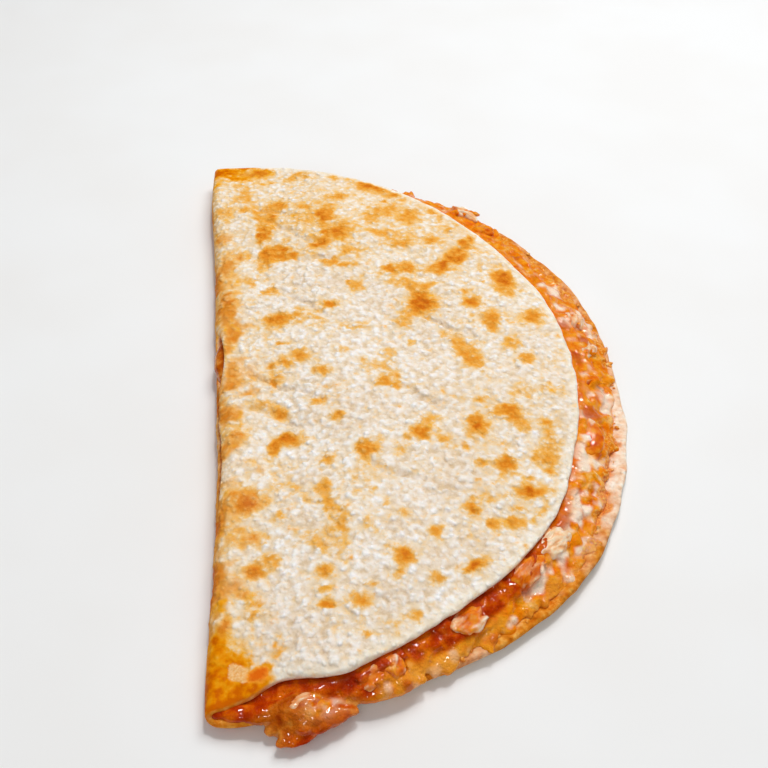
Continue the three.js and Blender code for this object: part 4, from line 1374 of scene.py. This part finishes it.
def chunk(number, place_and_size):
    """Points, triangles and measures of one torn chunk."""
    x, y_place, z, rx, ry, rz, turned = place_and_size
    unit, triangles = ball(BALL_RINGS, BALL_COLUMNS)
    drawn = np.random.default_rng(300 + number)
    sides = drawn.normal(size=(TORN_SIDES, 3))
    sides /= np.linalg.norm(sides, axis=1, keepdims=True)
    cut = drawn.uniform(*SIDE_REACH, TORN_SIDES)
    sides[0], cut[0] = (0.1, -0.1, 0.99), FLAT_TOPS.get(number, TOP_REACH)
    reach = unit @ sides.T / cut
    softened = (1 + (np.maximum(reach, 0) ** CUT_SHARPNESS).sum(axis=1)) ** (-1 / CUT_SHARPNESS)
    long_way = np.array([1.0, 0.25, 0]) if rx > ry else np.array([0.25, 1.0, 0])
    long_way /= np.linalg.norm(long_way)
    points = unit * softened[:, None] * FILL_OUT
    points *= (rx, ry, rz)
    outward = unit / np.array([rx, ry, rz])
    outward /= np.linalg.norm(outward, axis=1, keepdims=True)
    along = (points @ long_way)[:, None] * long_way
    across = points - along
    squeezed = across + along / FIBRE_STRETCH + 31.0 * number
    fibres = clouds(squeezed, FIBRE_WIDTH, 81, 2)
    crinkle = 1 - 2 * np.abs(clouds(squeezed * (1, 1, 0.7), 2.3, 84, 2))
    lumps = clouds(points + 17.0 * number, 2.6, 83, 2)
    relief = (LUMP_DEPTH * lumps + CRINKLE_DEPTH * crinkle) * SMOOTH_CHUNKS.get(number, 1)
    relief += FIBRE_DEPTH * fibres
    glaze = GLAZES[number] + 0.26 * clouds(points + 7.0 * number, 3.2, 85, 2)
    # less glaze on fibre ridges and crinkle tops: partly sauce running off them, partly a painted highlight
    glaze += 0.2 * clouds(squeezed, 1.7, 86, 2) - 0.10 * fibres - 0.22 * (crinkle - 0.4)
    glaze += 0.55 * smooth(-points[:, 2] / rz, -0.25, 0.75)
    glaze -= SLOPED_GLAZES.get(number, 0) * points[:, 1] / ry
    points = points + outward * (relief * (1.1 - 0.5 * GLAZES[number]))[:, None]
    turned_x, turned_y = rotated(points[:, 0], points[:, 1], turned)
    measures = {"glaze": np.clip(glaze, 0, 1), "fibre": 0.5 + 0.5 * fibres}
    return to_row(turned_x + x, turned_y + y_place, points[:, 2] + z), triangles, measures


print("one chunk has", len(ball(BALL_RINGS, BALL_COLUMNS)[1]), "triangles")

# %% Mix the chicken's colours and place the chunks
meat = Finish(
    "glazed_chicken", Specular_IOR_Level=0.08, Subsurface_Weight=0.2, Subsurface_Scale=0.0025,
    Subsurface_Radius=(1.0, 0.45, 0.25), Coat_Weight=0.8, Coat_Roughness=0.05, Coat_IOR=1.45,
)
mottle = meat.grain(2.6, 3)
threads = meat.grain(0.5, 2)
# bare meat is lighter on the fibre ridges and darker in the grooves: partly the fibres' own tone, partly
# painted highlight and painted shade
along_fibres = meat.measured("fibre") * 0.5 + (mottle - 0.5) * 0.8
bare_meat = meat.ramp(along_fibres, (0.05, 240, 166, 106), (0.25, 249, 202, 154), (0.5, 255, 236, 210))
glazed_meat = meat.shades(mottle, (206, 78, 0), (232, 116, 6), (246, 158, 44))
covered = meat.between(meat.measured("glaze") + (mottle - 0.5) * 0.5 + (threads - 0.5) * 0.25, 0.3, 0.85)
meat_finish = meat.finish(
    Base_Color=meat.blend(covered, bare_meat, glazed_meat), Roughness=0.3,
    Normal=meat.bump((threads - 0.5) * 0.7 + (mottle - 0.5) * 0.6, 0.15),
)
for number, place_and_size in enumerate(CHICKEN):
    chunk_points, chunk_triangles, chunk_measures = chunk(number, place_and_size)
    piece_name = f"chicken_chunk_{number + 1}"
    piece = make_piece(piece_name, chunk_points, chunk_triangles, meat_finish, chunk_measures)
    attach(piece, "root")
    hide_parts(f"chicken_{number + 1}")

# %% [markdown]
# ## Crumbs on the lip
#
# Fried crumbs of cheese stick to the lip beside the filling. They are separate grains of half a
# millimetre, too small to melt into the skin, and each one is a small uneven ball.

# %% Scatter the crumbs
CRUMBS = 90
CRUMB_REACH = 2.0

shuffled = np.random.default_rng(21)
crumb_ball = ball(6, 9)
crumb_parts = []
for _ in range(CRUMBS):
    share = np.array([shuffled.uniform(-0.72, 0.92)])
    edge = edge_point(share, LOWER_FLAP, 0)
    inset = cheese_edge(edge)[0] + 0.6 - abs(shuffled.normal(0, 0.45)) * CRUMB_REACH
    x, y_crumb = edge_point(share, LOWER_FLAP, max(inset, 0.5))[0]
    size = 0.25 + 0.6 * shuffled.uniform(0, 1) ** 2
    height = underside_height(np.array([x]), np.array([y_crumb]))[0] + THICKNESS + 0.35 * size
    sizes = size * shuffled.uniform(1.0, 2.6), size, size * 0.7
    points, triangles = turned_blob(crumb_ball, (x, y_crumb, height), sizes, shuffled.uniform(0, 180))
    points = points + 0.45 * size * np.column_stack([clouds(points, 0.45, 90 + i) for i in range(3)])
    crumb_parts.append((points, triangles))
crumb_points, crumb_triangles = joined(crumb_parts)
crumb = Finish("fried_crumbs", Specular_IOR_Level=0.4, Roughness=0.4)
crumb_colour = crumb.shades(crumb.grain(1.1, 2), (220, 112, 16), (240, 156, 50), (252, 206, 128))
crumb_finish = crumb.finish(Base_Color=crumb_colour)
crumbs = make_piece("fried_crumbs", to_row(*crumb_points.T), crumb_triangles, crumb_finish)
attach(crumbs, "root")
